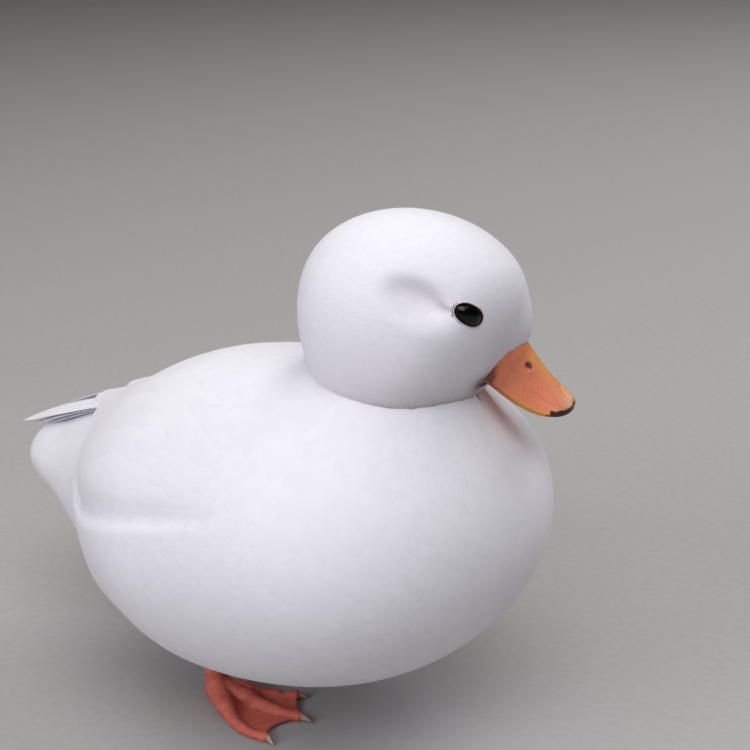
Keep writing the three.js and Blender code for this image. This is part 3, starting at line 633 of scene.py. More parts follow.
def bill_material():
    """Salmon horn, yellower along the ridge and the edge, pale on the nail, with worn dark rims."""
    look = Look("bill", BILL_SALMON, 0.38, **fleshy(0.2, (1.0, 0.4, 0.2), 1.2))
    broad = look.noise(0.2, 3)
    fine = look.noise(1.5, 4, 0.6)
    specks = look.noise(0.75, 5, 0.7)
    yellow = look.times(look.layer("yellow"), look.ramp(broad, (0.35, 0.55), (0.65, 1)))
    pale = look.times(look.layer("pale"), look.ramp(fine, (0.42, 0.35), (0.6, 1)))
    mottle = look.ramp(fine, (0.34, 0.2), (0.52, 0))
    brown = look.times(look.layer("brown"), look.ramp(specks, (0.4, 0.55), (0.6, 1)))
    dark = look.ramp(look.around_half(specks, 1.8, look.layer("dark")), (0.40, 0), (0.60, 1))
    colour = look.mixed(yellow, BILL_SALMON, BILL_YELLOW)
    for share, over in ((pale, BILL_PALE), (mottle, BILL_BROWN), (brown, BILL_BROWN), (dark, BILL_DARK)):
        colour = look.mixed(share, colour, over)
    pits = look.maths("MULTIPLY_ADD", broad, 2.0, look.noise(3.2, 3, 0.6))
    return look.paint(colour, look.ramp(fine, (0.3, 0.32), (0.7, 0.5)), (pits, 0.3, 0.12))


def foot_material():
    """Orange scaled skin, with painted shade darkening the creases between the scales."""
    look = Look("foot_skin", FOOT_HIGH, 0.5, **fleshy(0.12, (1.0, 0.3, 0.15), 1.0))
    cells = {"Vector": look.at, "Scale": 0.95, "Randomness": 0.8}
    scales = look.node("ShaderNodeTexVoronoi", cells, feature="DISTANCE_TO_EDGE").outputs["Distance"]
    # painted shade: darker along the grooves between the scales
    crease_shade = look.ramp(scales, (0.0, 0.45), (0.12, 1))
    patches = look.noise(0.22, 3)
    colour = look.mixed(crease_shade, FOOT_CREASE_SHADE, look.ramp(patches, (0.3, FOOT_LOW), (0.7, FOOT_HIGH)))
    return look.paint(colour, look.ramp(patches, (0.3, 0.45), (0.7, 0.62)), (crease_shade, 0.6, 0.25))


def claw_material():
    look = Look("claw", CLAW_PALE, 0.35)
    grain = look.noise(1.4, 3)
    return look.paint(look.ramp(grain, (0.35, CLAW_DARK), (0.7, CLAW_PALE)), bump=(grain, 0.3, 0.1))


def lid_material():
    """Pale pinkish skin, dark along the wet inner edge."""
    look = Look("lid", LID_PINK, 0.55)
    folds = look.noise(2.4, 4, 0.6)
    edge = look.ramp(look.around_half(folds, 0.3, look.layer("inner")), (0.25, 0), (0.55, 1))
    return look.paint(look.mixed(edge, LID_PINK, LID_DARK), bump=(folds, 0.5, 0.12))


def eye_material():
    """A very dark brown iris round a black pupil under a wet front, with a reddish front corner."""
    look = Look("eye", PUPIL, 0.15, specular_ior_level=0.22, coat_weight=0.08, coat_roughness=0.03)
    rays = look.noise(2.2, 4, 0.7)
    iris = look.ramp(rays, (0.35, IRIS_DARK), (0.7, IRIS_BROWN))
    disc = look.mixed(look.ramp(look.layer("ring"), (0.44, 0), (0.5, 1)), PUPIL, iris)
    return look.paint(look.mixed(look.layer("corner"), disc, EYE_CORNER), bump=(rays, 0.05, 0.02))


def floor_material():
    look = Look("floor", FLOOR_GREYS[0], 0.8, specular_ior_level=0.1)
    return look.paint(look.ramp(look.noise(0.3, 5), (0.3, FLOOR_GREYS[0]), (0.7, FLOOR_GREYS[1])))


MATERIALS = {
    "plumage": plumage_material(),
    "skin": skin_material(),
    "bill": bill_material(),
    "foot": foot_material(),
    "claw": claw_material(),
    "lid": lid_material(),
    "eye": eye_material(),
}


# ---- eyes and lids
def eye_frame(side):
    """The middle of the eye's opening and its front, up and out directions."""
    at = from_head(np.array([EYE["at"]]) * [1, side, 1])
    for _ in range(4):
        at = at - head(at)[:, None] * normals(head, at)
    out = normals(head, at)[0]
    tilt = math.radians(EYE["tilt"])
    along = HEAD_TURN @ np.array([math.cos(tilt), 0, -math.sin(tilt)])
    reach = np.array([LID["long"], LID["long"], LID["high"], LID["high"]])[:, None]
    for _ in range(3):
        up = unit(np.cross(out, along)) * -side
        front = unit(along - out * np.dot(along, out))
        rim = at + np.array([front, -front, up, -up]) * reach
        rim = rim - head(rim)[:, None] * normals(head, rim)
        out = unit(np.cross(rim[0] - rim[1], rim[2] - rim[3])) * -side
    return at[0], np.stack((front, up, out))


EYES = {name: eye_frame(side) for name, side in SIDES.items()}


def in_eye(p, grow):
    """Places inside the lids' ring, widened by grow."""
    inside = np.zeros(len(p), bool)
    for at, axes in EYES.values():
        x, y, z = np.abs((p - at) @ axes.T).T
        ring = (x / (LID["long"] + grow)) ** LID["power"] + (y / (LID["high"] + grow)) ** LID["power"]
        inside |= (ring < 1) & (z < LID["deep"])
    return inside


def oval(angle):
    """The lids' outline, a little fuller than an ellipse: one along and one up at its ends."""
    return (np.sign(v) * np.abs(v) ** (2 / LID["power"]) for v in (np.cos(angle), np.sin(angle)))


def make_eye(name):
    """The eyeball: a flattened ball that bulges a little out of the lids."""
    at, axes = EYES[name]
    rows, columns = EYE_GRID
    polar = np.linspace(0.002, math.pi - 0.002, rows)[:, None]
    around = circle(columns)
    long, high, deep = EYE["r"]
    x = EYE["forward"] + long * np.sin(polar) * np.cos(around)
    y = high * np.sin(polar) * np.sin(around)
    points, faces = tube(at + xyz(x, y, deep * np.cos(polar) - EYE["sunk"]) @ axes)
    q = (points - at) @ axes.T
    disc = np.hypot(q[:, 0], q[:, 1] * 1.15) / 8
    layers = {"ring": disc, "corner": 0.75 * smooth(4.0, 5.6, q[:, 0] - 0.3 * q[:, 1])}
    piece = make_piece("eyeball_" + name, points, faces, "eye", layers=layers)
    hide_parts("eye_" + name)


def make_lids(name):
    """A thin soft rim round the eye, a little heavier above, drawn out into a corner in front and behind."""
    at, axes = EYES[name]
    rows, columns = LID["grid"]
    around, section = circle(rows)[:, None], circle(columns)[None, :]
    corner = np.abs(np.cos(around)) ** 14
    thick = LID["r"] * (1 + 0.25 * np.sin(around)) * (1 - 0.25 * corner)
    across, up = oval(around)
    line = at + np.concatenate((across * LID["long"], up * LID["high"], 0 * up), axis=1) @ axes
    height = LID["lift"] * np.sin(around) ** 2 - head(line)[:, None]
    long = LID["long"] + thick * np.cos(section) + 0.2 * corner
    high = LID["high"] + thick * np.cos(section)
    z = thick * np.sin(section) + height
    points = at + xyz(across * long, up * high, z).reshape(-1, 3) @ axes
    faces = facing_out(points, grid_faces(rows, columns, True, True))
    layers = {"inner": np.broadcast_to(0.5 - 0.5 * np.cos(section), (rows, columns)).ravel()}
    make_piece("lids_" + name, points, faces, "lid", layers=layers)


# ---- bill
def culmen(x):
    """The height of the bill's ridge."""
    fall = (1 - clamp((x - CULMEN["from"]) / CULMEN["run"])) ** CULMEN["power"]
    return CULMEN["tip"] + CULMEN["rise"] * fall + CULMEN["root_slope"] * np.maximum(0, CULMEN["root"] - x)


def bill_edge(x):
    return -BILL["sag"] * np.sin(math.pi * clamp(x / (BILL["length"] + 1)) ** 1.15)


def bill_half(x):
    width, start = BILL_WIDTH, BILL_WIDTH["tip_from"]
    half = mix(width["root"], width["middle"], smooth(0, 14, x)) + width["flare"] * smooth(15, 25, x)
    return half * np.sqrt(1 - clamp((x - start) / (BILL["length"] - start)) ** width["power"])


def in_bill(p, grow):
    x, y, z = to_bill(p).T
    across = clamp(1 - (np.abs(y) / (bill_half(x) + grow)) ** 2)
    return (x > -9) & (across > 0) & (z < culmen(x) * np.sqrt(across) + grow) & (z > -4 - grow)


def nostril_reach(q):
    """1 on the nostril's rim, less inside it."""
    x, z = slanted(q[:, 0] - NOSTRIL["along"], q[:, 2] - NOSTRIL["up"], NOSTRIL["pitch"])
    return np.hypot(x / NOSTRIL["long"], z / NOSTRIL["high"])


def beside_bill(q):
    """Where a nostril may lie: high up on either side."""
    return (np.abs(q[:, 1]) > 2) & (q[:, 2] > 3)


def upper_bill():
    """The upper half: an arch over a curved edge, with a rolled rim, nostrils and the nail on its tip."""
    rows, arch_count, floor_count = BILL_ROWS["upper"]
    x = mix(BILL["back"], BILL["length"] - 0.1, np.sin(np.linspace(0, math.pi / 2, rows)))[:, None]
    a = np.linspace(0, math.pi, arch_count)
    base = bill_edge(x)
    tip = np.sqrt(clamp((BILL["length"] - x) / 2.4 + 0.12))
    high = (culmen(x) - base) * tip
    half = np.maximum(bill_half(x), 0.8)
    arch = np.sin(a) ** mix(1, 0.72, clamp(x / 24))
    rim = 0.28 * hump(np.sin(a), 0.14) - 0.22 * hump(np.sin(a) - 0.30, 0.10)
    over = xyz(x, (half + rim) * np.cos(a), base + high * arch)
    t = np.linspace(-1, 1, floor_count + 2)[1:-1]
    hollow = 1.2 * (1 - t**2) * smooth(BILL["length"], 20, x)
    under = xyz(x, half * t * 0.96, base + 0.02 + hollow)
    rings = np.concatenate((over, under), axis=1)
    q = rings.reshape(-1, 3)
    reach = nostril_reach(q)
    pit = NOSTRIL["deep"] * (1 - smooth(0.5, 1.15, reach)) - 0.16 * hump(reach - 1.5, 0.35)
    pit = np.where(beside_bill(q), pit, 0)
    q[:, 1] -= np.sign(q[:, 1]) * pit * 0.8
    q[:, 2] -= pit * 0.6
    nail = np.hypot((q[:, 0] - BILL["length"] + NAIL["back"]) / NAIL["long"], q[:, 1] / NAIL["wide"])
    q[:, 2] += NAIL["high"] * (1 - smooth(0.85, 1.05, nail)) * (q[:, 2] > bill_edge(q[:, 0]) + 0.3)
    points, faces = tube(from_bill(q.reshape(rings.shape)))
    q = to_bill(points)
    x, _, z = q.T
    low = z - bill_edge(x)
    gape = (1 - smooth(0.5, 4.5, x)) * (1 - smooth(3, 9, z))
    corner = (1 - smooth(-0.4, 4.0, x)) * (1 - smooth(0.6, 6.5, z))
    tip_rim = smooth(20.5, 24.5, x) * (1 - smooth(0.9, 2.9, low))
    speck = hump(np.linalg.norm(q - SPECK["at"], axis=1), SPECK["r"])
    nostrils = np.where(beside_bill(q), 1 - smooth(0.8, 1.25, nostril_reach(q)), 0)
    ridge = smooth(0.6, 1.0, z / np.maximum(culmen(x), 1))
    edge = 1 - smooth(0.5, 2.5, low)
    root = 0.3 * (1 - smooth(5, 9, x - z * 0.3))
    layers = {
        "dark": np.maximum.reduce((tip_rim, speck, 0.3 * corner)),
        "pale": 0.72 * smooth(23, 29, x) * smooth(0.8, 2.5, low),
        "yellow": np.maximum(ridge, edge) * smooth(4, 12, x),
        "brown": np.maximum.reduce((1.8 * corner + 0.6 * gape, root, 1.6 * nostrils)),
    }
    piece = make_piece("bill_top", points, faces, "bill", layers=layers)
    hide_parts("bill_upper", "bill_nail")


def lower_bill():
    """The lower half: a shallow trough that fits inside the upper one's edge."""
    rows, trough_count, top_count = BILL_ROWS["lower"]
    end = BILL["length"] - 2.2
    x = mix(BILL["back"], end, np.sin(np.linspace(0, math.pi / 2, rows)))[:, None]
    a = np.linspace(0, math.pi, trough_count)
    top = bill_edge(x) - 0.3
    half = np.maximum(bill_half(np.minimum(x + 1.6, BILL["length"] - 0.6)) - 0.9, 1)
    deep = mix(1.1, 3.2, np.sin(a) ** 2) * mix(1, 0.45, clamp(x / end))
    below = xyz(x, half * np.cos(a), top - deep * np.sin(a) ** 0.35)
    above = xyz(x, half * np.linspace(-1, 1, top_count + 2)[1:-1], top)
    points, faces = tube(from_bill(np.concatenate((below, above), axis=1)))
    x = to_bill(points)[:, 0]
    layers = {
        "dark": 0.3 * smooth(24, 28, x),
        "pale": np.zeros(len(points)),
        "yellow": smooth(6, 16, x),
        "brown": 0.6 * (1 - smooth(1, 6, x)),
    }
    piece = make_piece("bill_bottom", points, faces, "bill", layers=layers)
    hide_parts("bill_lower")


# ---- skin
def stain_and_shade_at(p):
    """Brown at the mouth's corner and the bill's root, a faint tint on the lores, and painted shade where the
    cheek folds over the neck and along a line behind the eye.
    """
    x, y, z = to_bill(p).T
    gape = np.sqrt((x + 1.5) ** 2 + 0.5 * (np.abs(y) - 12) ** 2 + (z + 1.2) ** 2)
    root = np.where((z < 11) & (z > -3), x - mix(0, 6.5, clamp(z / 15)), 9)
    lore = np.hypot(x - 3, z - 14)
    below = trunk(p)
    # painted shade: darker where the cheek folds over the neck
    fold_shade = (0.27 * hump(below, 6.5) + 0.4 * hump(below, 1.3)) * smooth(-52, -20, x)
    along, aside, up = to_head(p).T
    # painted shade: a dark line from the eye's rear corner back into the brow groove
    front, back = EYE_CREASE_SHADE["front"], EYE_CREASE_SHADE["back"]
    faded = smooth(front[0], back[0], along)
    crease_shade = hump(segment(xyz(along, 0, up), front, back), mix(*EYE_CREASE_SHADE["r"], faded))
    marks_and_shade = 0.95 * hump(gape, 3.4) + 0.42 * hump(root, 1.1) + 0.08 * hump(lore, 9) + fold_shade
    marks_and_shade += mix(0.5, 0.13, faded) * crease_shade * smooth(16, 22, np.abs(aside))
    return clamp(marks_and_shade) * smooth(2, 0.5, head(p) - below)


def coat_depth(p):
    """How far the skin lies under the coat's outer face."""
    return mix(COAT_DEPTH["body"], COAT_DEPTH["head"], smooth(118, 140, p[:, 2]))


def skin_distance(p):
    return plumage(p) + coat_depth(p)


def make_skin():
    points, quads = surface_net(skin_distance, *SKIN_BOX, SKIN_STEP)
    layers = {"stain_and_shade": stain_and_shade_at(points)}
    piece = make_piece("skin", points, quads, "skin", layers=layers)
    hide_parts("torso", "neck", "head", "tail", "wing_left", "wing_right")
    return points, quads


# ---- small feathers
def lie(p, n):
    """The way the feathers point: from the bill over head and neck, down the breast, back along the body."""
    head_way = unit(p - from_bill(np.array([6.0, 0, 10.0]))) + [0, 0, -0.35]
    neck_way = np.array([-0.3, 0, -1.0])
    body_way = np.array([-1.0, 0, -0.38])
    z = p[:, 2:3]
    way = unit(mix(mix(body_way, neck_way, smooth(84, 112, z)), head_way, smooth(118, 138, z)))
    for at, _ in EYES.values():
        away = p - at
        towards = np.minimum(np.sum(way * unit(away), axis=1, keepdims=True), 0)
        way = way - hump(np.linalg.norm(away, axis=1, keepdims=True), 9) * towards * unit(away)
    way = unit(way) + rng.normal(0, 0.05, way.shape)
    return unit(way - n * np.sum(way * n, axis=1, keepdims=True))


def unwrap(p, centre):
    """Directions from a centre laid out on a square, folded over the four lower faces of an octahedron."""
    d = p - centre
    d = d / np.abs(d).sum(axis=1, keepdims=True)
    x, y, z = d.T
    fold_x = (1 - np.abs(y)) * np.where(x < 0, -1, 1)
    fold_y = (1 - np.abs(x)) * np.where(y < 0, -1, 1)
    u, v = np.where(z < 0, fold_x, x), np.where(z < 0, fold_y, y)
    return np.stack((u, v), axis=1) * 0.49 + 0.5


def shade_like(piece, face_normals):
    """Turns a piece's shading normals most of the way to those of the face that it lies on."""
    mesh = piece.data
    own = np.empty(len(mesh.vertices) * 3, np.float32)
    mesh.vertex_normals.foreach_get("vector", own)
    own = own.reshape(-1, 3)
    under = np.sum(own * face_normals, axis=1, keepdims=True) < 0
    face_normals = np.where(under, -face_normals, face_normals)
    mesh.normals_split_custom_set_from_vertices(unit(mix(own, face_normals, SHADE_SHARE)))


def feathers(name, roots, sizes, shape, face, centre):
    """Small feathers lying on a face. sizes holds length, width, sunk root and lifted tip for each."""
    rows, columns = shape
    length, width, sunk, lift = (v[:, None, None] for v in sizes.T)
    n = normals(plain_trunk if face is trunk else face, roots)
    way = lie(roots, n)
    across = np.cross(n, way)
    count, each = len(roots), rows * columns
    s = np.linspace(0, 1, rows)[:, None]
    t = np.linspace(-1, 1, columns)
    outline = mix(0.55, 1, smooth(0, 0.5, s)) * np.sqrt(1 - 0.9 * clamp((s - 0.6) / 0.4) ** 2.2)
    fray = rng.normal(0, 0.012, (count, 1, columns)) * s**3
    along = length * (s * (1 - 0.10 * t * t * s) + fray - 0.4)
    aside = width / 2 * outline * t + 0 * along
    rise = mix(-sunk, lift, s) - (sunk + 2 * lift) * (t**4 + smooth(0.78, 1, s))
    p = roots[:, None, None, :] + along[..., None] * way[:, None, None, :]
    flat = (p + aside[..., None] * across[:, None, None, :]).reshape(-1, 3)
    normal = np.repeat(n, each, axis=0)
    for _ in range(2):
        flat -= (in_pieces(face, flat) - np.broadcast_to(rise, along.shape).ravel())[:, None] * normal
    faces = (np.arange(count)[:, None, None] * each + grid_faces(rows, columns, False)).reshape(-1, 4)
    local = np.stack(np.broadcast_arrays(t / 2, s - 0.5), axis=-1).reshape(1, -1, 2)
    bake = (unwrap(roots, centre)[:, None, :] + BAKE_PATCH * local).reshape(-1, 2)
    vane = np.broadcast_to(local + 0.5, (count, each, 2)).reshape(-1, 2)
    # head feathers carry the brown round the mouth and the painted shade under the cheek and behind the eye
    stain_and_shade = stain_and_shade_at(roots) if face is head else np.zeros(count)
    layers = {"tone": np.repeat(rng.random(count), each), "stain_and_shade": np.repeat(stain_and_shade, each)}
    maps = {"OFBake": bake, "Vane": vane}
    piece = make_piece(name, flat, faces, "plumage", maps, layers)
    shade_like(piece, normals(face, flat))


def on_wing_tiers(p):
    """Where the wing's own tiers of feathers lie, behind the shoulder."""
    x = p[:, 0]
    between = (round_body(p) > wing_upper(x) + 3) & (above_wing_edge(p) > 1.5)
    return between & (x > WING["rear"] + 2) & (x < 19)


def near_leg(p):
    near = np.zeros(len(p), bool)
    for foot in FEET.values():
        near |= (np.hypot(p[:, 0] - foot["at"][0] + 2, p[:, 1] - foot["at"][1]) < 5.5) & (p[:, 2] < 60)
    return near


def bare_distance(p):
    """How far a place is from the eye's rim or the bill's root, whichever is nearer."""
    eye = np.min([np.linalg.norm(p - at, axis=1) for at, _ in EYES.values()], axis=0) - LID["long"]
    x, y, z = to_bill(p).T
    beside, above = np.maximum(np.abs(y) - 10, 0), np.maximum(np.abs(z - 7) - 8, 0)
    root = np.sqrt((x - mix(0, 7, clamp(z / 15))) ** 2 + beside**2 + above**2)
    return np.maximum(np.minimum(eye, root), 0)


def make_coat(points, quads):
    """The small feathers: tiny on the face, longer over cheeks and nape, rounded and broad on the body."""
    on_face = points + coat_depth(points)[:, None] * normals(plumage, points)
    middle = on_face[quads].mean(axis=1)
    on_head = in_pieces(head, middle) < in_pieces(trunk, middle)
    at_rim = on_head & (bare_distance(middle) < RIM_FEATHER["reach"] + SKIN_STEP)
    fine = spread(on_face, quads[at_rim], RIM_FEATHER["spacing"])
    wide = spread(on_face, quads[on_head], HEAD_FEATHER["spacing"])
    fine = fine[bare_distance(fine) < RIM_FEATHER["reach"]]
    roots = np.concatenate((fine, wide[bare_distance(wide) > RIM_FEATHER["reach"] - 0.5]))
    roots = roots[~in_bill(roots, 0.1) & ~in_eye(roots, LID["r"] / 2)]
    bare = bare_distance(roots)
    back = smooth(8, 34, bare) * smooth(165, 135, roots[:, 2])
    size = mix(HEAD_FEATHER["face"], HEAD_FEATHER["cheek"], smooth(0, 20, bare))
    size = mix(size, HEAD_FEATHER["nape"], back)
    rim = mix(RIM_FEATHER["share"], 1, smooth(0, RIM_FEATHER["reach"], bare))
    size *= rng.uniform(0.85, 1.15, len(bare)) * rim
    reach = size[:, None] * lie(roots, normals(head, roots))
    clear = ~in_eye(roots + 0.6 * reach, 0) & ~in_eye(roots - 0.4 * reach, 0)
    roots, bare, size = roots[clear], bare[clear], size[clear]
    sunk = mix(0.05, 0.12, smooth(0, 14, bare))
    sizes = np.stack((size, size * 0.85, sunk, 0.02 + 0.03 * smooth(0, 25, bare)), axis=1)
    x, y, _ = to_head(roots).T
    halves = {"left": y > 0, "right": y <= 0}
    areas = {"coat_face_": x > FACE_BACK, "coat_nape_": x <= FACE_BACK}
    for area, in_area in areas.items():
        for half, in_half in halves.items():
            chosen = in_area & in_half
            feathers(area + half, roots[chosen], sizes[chosen], (5, 4), head, HEAD_AT)
    roots = spread(on_face, quads[~on_head], BODY_FEATHER["spacing"])
    roots = roots[~on_wing_tiers(roots) & ~near_leg(roots) & (roots[:, 2] > 12)]
    size = mix(BODY_FEATHER["neck"], BODY_FEATHER["back"], smooth(125, 90, roots[:, 2]))
    size *= rng.uniform(0.88, 1.12, len(roots))
    sizes = np.stack((size, size * 0.72, 0.014 * size, 0.004 * size), axis=1)
    order = np.argsort(roots[:, 0])
    for n, chosen in enumerate(np.array_split(order, BODY_PIECES)):
        feathers(f"coat_body_{n + 1}", roots[chosen], sizes[chosen], (6, 7), trunk, BODY_MIDDLE)


# ---- wings and tail
def on_body(side, x, angle, h, axis):
    """Places at an angle round a line along the body, at a height over the coat's outer face."""
    x, angle, h = (v.ravel() for v in np.broadcast_arrays(x, angle, h))
    way = np.stack((0 * x, side * np.sin(np.radians(angle)), np.cos(np.radians(angle))), axis=1)
    start = np.stack((x, 0 * x, np.full(len(x), float(axis))), axis=1)
    near, far = np.zeros(len(x)), np.full(len(x), 120.0)
    for _ in range(22):
        half = (near + far) / 2
        within = trunk(start + way * half[:, None]) < h
        near, far = np.where(within, half, near), np.where(within, far, half)
    return start + way * near[:, None]


def plate_faces(rows, columns):
    """Two like grids of quads, one under the other, joined round their edge."""
    size = rows * columns
    upper = grid_faces(rows, columns, False)
    edge = [i * columns for i in range(rows - 1)]
    edge += [(rows - 1) * columns + j for j in range(columns - 1)]
    edge += [i * columns + columns - 1 for i in range(rows - 1, 0, -1)]
    edge += list(range(columns - 1, 0, -1))
    a, b = np.array(edge), np.array(edge[1:] + edge[:1])
    wall = np.stack((b, a, a + size, b + size), axis=1)
    return np.concatenate((upper, upper[:, ::-1] + size, wall))


def vane(surface, start, end, centre, half, blunt, thick, lift=(0, 0), dive=0.0, shape=(16, 7)):
    """A long feather: a tapered closed blade with a raised shaft, on a surface of along, across and height.
    Its edges and tip dive under the feathers beside and behind it."""
    s = np.linspace(0, 1, shape[0])[:, None]
    t = np.linspace(-1, 1, shape[1])
    tip = np.sqrt(1 - 0.92 * clamp((s - 0.70) / 0.30) ** 2.4)
    width = half * mix(0.62, 1, smooth(0, 0.5, s)) * tip
    along = mix(start, end, s * (1 - blunt * t * t * s))
    across = centre + width * t
    shaft = 0.05 * hump(t, 0.12) * (1 - 0.5 * s)
    rise = mix(lift[0], lift[1], s) - 0.06 * t * t + shaft - dive * (t**4 + smooth(0.8, 1, s))
    upper = surface(along + 0 * across, across, rise)
    lower = surface(along + 0 * across, across, rise - shaft - mix(thick[0], thick[1], s) * (1 - 0.5 * t * t))
    place = np.stack(np.broadcast_arrays(t * 0.5 + 0.5, s), axis=-1).reshape(-1, 2)
    return np.concatenate((upper, lower)), np.concatenate((place, place)), shape


def vanes_piece(name, blades, centre, lying=False):
    """All the long feathers of one part in one mesh; lying says which blades lie on the trunk."""
    points, faces, bake, local, tone = [], [], [], [], []
    for blade, place, shape in blades:
        start = sum(len(v) for v in points)
        root = blade[: shape[1]].mean(axis=0, keepdims=True)
        faces.append(facing_out(blade - blade.mean(axis=0), plate_faces(*shape)) + start)
        points.append(blade)
        local.append(place)
        bake.append(unwrap(root, centre) + VANE_PATCH * (place - 0.5))
        tone.append(np.full(len(blade), rng.random()))
    points = np.concatenate(points)
    maps = {"OFBake": np.concatenate(bake), "Vane": np.concatenate(local)}
    layers = {"tone": np.concatenate(tone), "stain_and_shade": np.zeros(len(points))}
    piece = make_piece(name, points, np.concatenate(faces), "plumage", maps, layers)
    if lying:
        shade_like(piece, normals(trunk, points))


def make_wing(name):
    side = SIDES[name]

    def on_wing(x, across, h):
        angle = mix(wing_upper(x), wing_lower(x), np.clip(across, 0.0, 0.985))
        lifted = smooth(-0.02, 0.14, across) * (1 - smooth(0.35, 0.85, across))
        return on_body(side, x, angle, h + wing_rise(x) * lifted, WING["axis"])

    blades = []
    for number, (count, start, end) in enumerate(WING_TIERS):
        for n in range(count):
            centre = (n + 0.5 + 0.12 * (number % 2 == 0)) / (count + 0.24)
            slip = 1.6 * math.sin(2.4 * n + number) + rng.normal(0, 0.5)
            place = (start + slip, end + slip, centre, 0.8 / count)
            blades.append(vane(on_wing, *place, 0.10, (0.3, 0.15), (-0.45, 0.12), 0.4, (18, 9)))
    vanes_piece("wing_feathers_" + name, blades, BODY_MIDDLE, True)
    vanes_piece("flight_feathers_" + name, flight_feathers(side), BODY_MIDDLE)


def as_columns(*values):
    return (v.ravel()[:, None] for v in np.broadcast_arrays(*values))


def flight_feathers(side):
    """The long feathers that reach over the tail, each a little shorter and lower than the one above."""
    blades = []
    sweep = unit(np.array([0.08, 1, -PRIMARIES["slant"]]))
    for n in range(PRIMARIES["count"]):
        shift = n * np.array([PRIMARY_STEP["back"], PRIMARY_STEP["out"], -PRIMARY_STEP["down"]])
        root, bend, tip = (np.array(at) + shift * [k / 2, 1, 1] for k, at in enumerate(PRIMARY_LINE))

        def in_fan(s, across, h):
            s, across, h = as_columns(s, across, h)
            line = mix(mix(root, bend, s), mix(bend, tip, s), s)
            return mirrored(line + sweep * across * (1 - 0.45 * s**4) + UP * h, side)

        half = PRIMARIES["half"] * (1 - n * PRIMARY_STEP["narrower"])
        blades.append(vane(in_fan, 0, 1, 0, half, 0.04, (0.5, 0.25), shape=(24, 9)))
    return blades


def tail_fan():
    """The tail's own stiff feathers, the middle ones on top."""
    blades = []
    x, _, z = TAIL_BASE["at"]
    for n in range(RECTRICES["count"]):
        share = mix(-1, 1, n / (RECTRICES["count"] - 1))
        angle = math.radians(RECTRICES["spread"] * share)
        layer = 0.55 * (n % 2)
        reach = RECTRICES["reach"][0] * math.cos(angle)
        aside = RECTRICES["reach"][1] * math.sin(angle)
        tip = np.array([x - reach, aside, z - RECTRICES["droop"] * abs(share) - layer - 1])
        root = np.array([RECTRICES["from"], aside * 0.35, z + 1 - layer])
        out = unit(np.cross(UP, tip - root))

        def in_fan(s, across, h):
            s, across, h = as_columns(s, across, h)
            return mix(root, tip, s) + out * across + UP * h

        blades.append(vane(in_fan, 0, 1, 0, RECTRICES["half"], 0.03, (0.7, 0.4)))
    return blades


def on_tail(x, angle, h):
    return on_body(1, x, angle, h, TAIL_AXIS)


def make_tail():
    blades = []
    for tier in TAIL_TIERS:
        step = (tier["high"] - tier["low"]) / tier["count"]
        for n in range(tier["count"]):
            end = tier["to"] + 1.5 * math.sin(2.1 * n)
            middle = tier["low"] + step * (n + 0.5)
            place = (tier["from"], end, middle, step * 0.85)
            blades.append(vane(on_tail, *place, 0.08, (0.3, 0.15), (-0.7, tier["lift"]), 0.4))
    vanes_piece("tail_coverts", blades, TAIL_MIDDLE, True)
    vanes_piece("tail_feathers", tail_fan(), TAIL_MIDDLE)


# ---- legs and feet
def toe_radius(t):
    return mix(TOE_R["root"], TOE_R["tip"], smooth(0, 0.75, t)) + TOE_R["swell"] * np.cos(t * math.pi * 6)


def web_distance(foot, first, second, notch, p):
    """A thin sheet between two toes whose free edge curves in."""
    x, y = (p[:, :2] - np.array(foot["at"])).T
    radius = np.hypot(x, y)
    t = clamp(radius / 36)
    low, high = toe_direction(foot, first, t), toe_direction(foot, second, t)
    share = (np.arctan2(y, x) - low) / (high - low)
    inside = clamp(share)
    middle = np.sin(math.pi * inside)
    reach = mix(first["length"], second["length"], inside) * (WEB_REACH - notch * middle)
    height = mix(4.5, 0.7, smooth(0, 0.6, radius / reach)) + WEB_HALF - 0.2 * middle
    height = height + 0.12 * np.sin(radius * 1.3 + 3 * inside) * middle
    beside = np.maximum(-share, share - 1) * np.abs(high - low) * radius
    return np.maximum.reduce([np.abs(p[:, 2] - height) - WEB_HALF, radius - reach, beside])


def foot_distance(foot, p):
    """Toes, webs, hind toe and shank blended together, cut off flat at the floor."""
    d = np.full(len(p), 50.0)
    at = np.array([*foot["at"], 0])
    for toe in TOES.values():
        t = np.linspace(0, TOE_END - 0.02, 9)
        line = toe_point(foot, toe, t)
        r = toe_radius(t)
        line[:, 2] = r * 0.98
        for a, b, ra, rb in zip(line[:-1], line[1:], r[:-1], r[1:]):
            d = blend(d, segment(p, a, b, ra, rb), 0.8)
    for first, second, notch in WEBS:
        d = blend(d, web_distance(foot, TOES[first], TOES[second], notch, p), 1.6)
    side = math.copysign(1, foot["at"][1])
    way = math.radians(foot["yaw"] - side * HIND_TOE["angle"])
    length = HIND_TOE["length"]
    heel = at + [0, 0, HIND_TOE["height"][0]]
    back = at + [length * math.cos(way), length * math.sin(way), HIND_TOE["height"][1]]
    d = blend(d, segment(p, heel, back, *HIND_TOE["r"]), 1.5)
    low, high = at + [0, 0, SHANK["low"]], at + [-SHANK["lean"], 0, SHANK["high"]]
    d = blend(d, segment(p, low, high, *SHANK["r"]), 2.5)
    return np.maximum(d, -p[:, 2])


def make_foot(name):
    foot = FEET[name]
    low, high = (np.array(corner) + [*foot["at"], 0] for corner in FOOT_BOX)
    points, quads = surface_net(lambda p: foot_distance(foot, p), low, high, FOOT_STEP)
    piece = make_piece("webbed_foot_" + name, points, quads, "foot")
    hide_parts("foot_" + name, "leg_" + name)


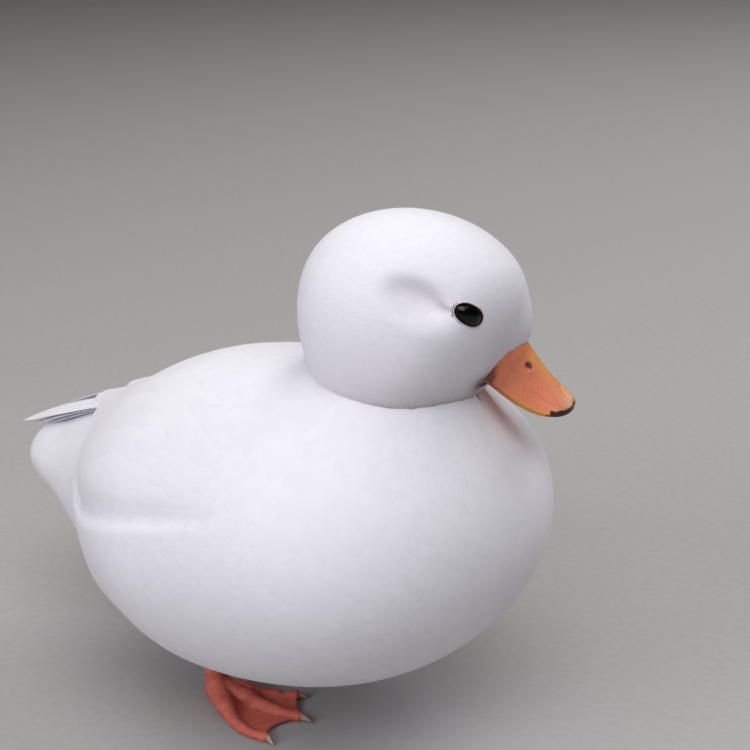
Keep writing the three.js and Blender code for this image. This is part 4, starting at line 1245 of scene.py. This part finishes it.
def make_claws(name):
    foot = FEET[name]
    for toe_name, toe in TOES.items():
        base = toe_point(foot, toe, np.array([TOE_END]))[0]
        angle = toe_direction(foot, toe, TOE_END)
        way = np.array([math.cos(angle), math.sin(angle), 0])
        across = np.cross(UP, way)
        t = np.linspace(0, 1, 10)[:, None, None]
        a = circle(16)[:, None]
        middle = base + way * (CLAW_GAP + toe["claw"] * t - CLAW_R["sunk"] * (1 - t))
        middle = middle + UP * mix(*CLAW_R["height"], t * t)
        r = mix(CLAW_R["root"], CLAW_R["tip"], t**1.4)
        points, faces = tube(middle + across * r * 0.8 * np.cos(a) + UP * r * np.sin(a))
        piece = make_piece(f"horn_{toe_name}_{name}", points, faces, "claw")
        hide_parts(f"claw_{toe_name}_{name}")


# ---- camera, light and floor
def photo_camera():
    """The camera that took the photograph, from its direction, distance, roll and focal length."""
    azimuth, elevation = math.radians(CAMERA["azimuth"]), math.radians(CAMERA["elevation"])
    flat = math.cos(elevation)
    away = np.array([math.sin(azimuth) * flat, -math.cos(azimuth) * flat, math.sin(elevation)])
    place = np.array(CAMERA["pivot"]) + CAMERA["distance"] * away
    sideways = np.array([math.cos(azimuth), math.sin(azimuth), 0])
    aim = CAMERA_AIM["across"] * sideways + [0, 0, CAMERA_AIM["height"]]
    data = bpy.data.cameras.new("camera")
    data.sensor_width = SENSOR
    data.lens = PHOTO_FOCUS / PHOTO_SIZE * SENSOR
    data.clip_start, data.clip_end = 0.02, 50
    camera = placed("camera", data)
    look = Vector(aim - place).to_track_quat("-Z", "Y").to_matrix()
    camera.matrix_world = (look @ Matrix.Rotation(math.radians(CAMERA_AIM["roll"]), 3, "Z")).to_4x4()
    camera.location = row(place)
    bpy.context.scene.camera = camera


def soft_light(name, lamp):
    data = bpy.data.lights.new(name, "AREA")
    data.shape = "DISK"
    data.size = lamp["size"]
    data.energy = lamp["watts"]
    data.color = lamp["colour"]
    light = placed(name, data)
    light.location = lamp["place"]
    light.rotation_euler = (Vector((0, 0, 0.08)) - Vector(lamp["place"])).to_track_quat("-Z", "Y").to_euler()


def light_scene():
    for name, lamp in LIGHTS.items():
        soft_light(name, lamp)
    world = bpy.data.worlds.new("world")
    world.use_nodes = True
    sky = world.node_tree.nodes["Background"].inputs
    sky["Color"].default_value = (*SKY["colour"], 1)
    sky["Strength"].default_value = SKY["strength"]
    bpy.context.scene.world = world
    bpy.context.scene.view_settings.view_transform = "Standard"


def make_floor():
    bpy.ops.mesh.primitive_plane_add(size=6, location=(0, 0, 0))
    floor = bpy.context.object
    floor.name = "floor"
    floor.data.materials.append(floor_material())


# ---- the whole duck
def build():
    make_coat(*make_skin())
    upper_bill()
    lower_bill()
    make_tail()
    for name in SIDES:
        make_wing(name)
        make_eye(name)
        make_lids(name)
        make_foot(name)
        make_claws(name)


photo_camera()
light_scene()
make_floor()
build()
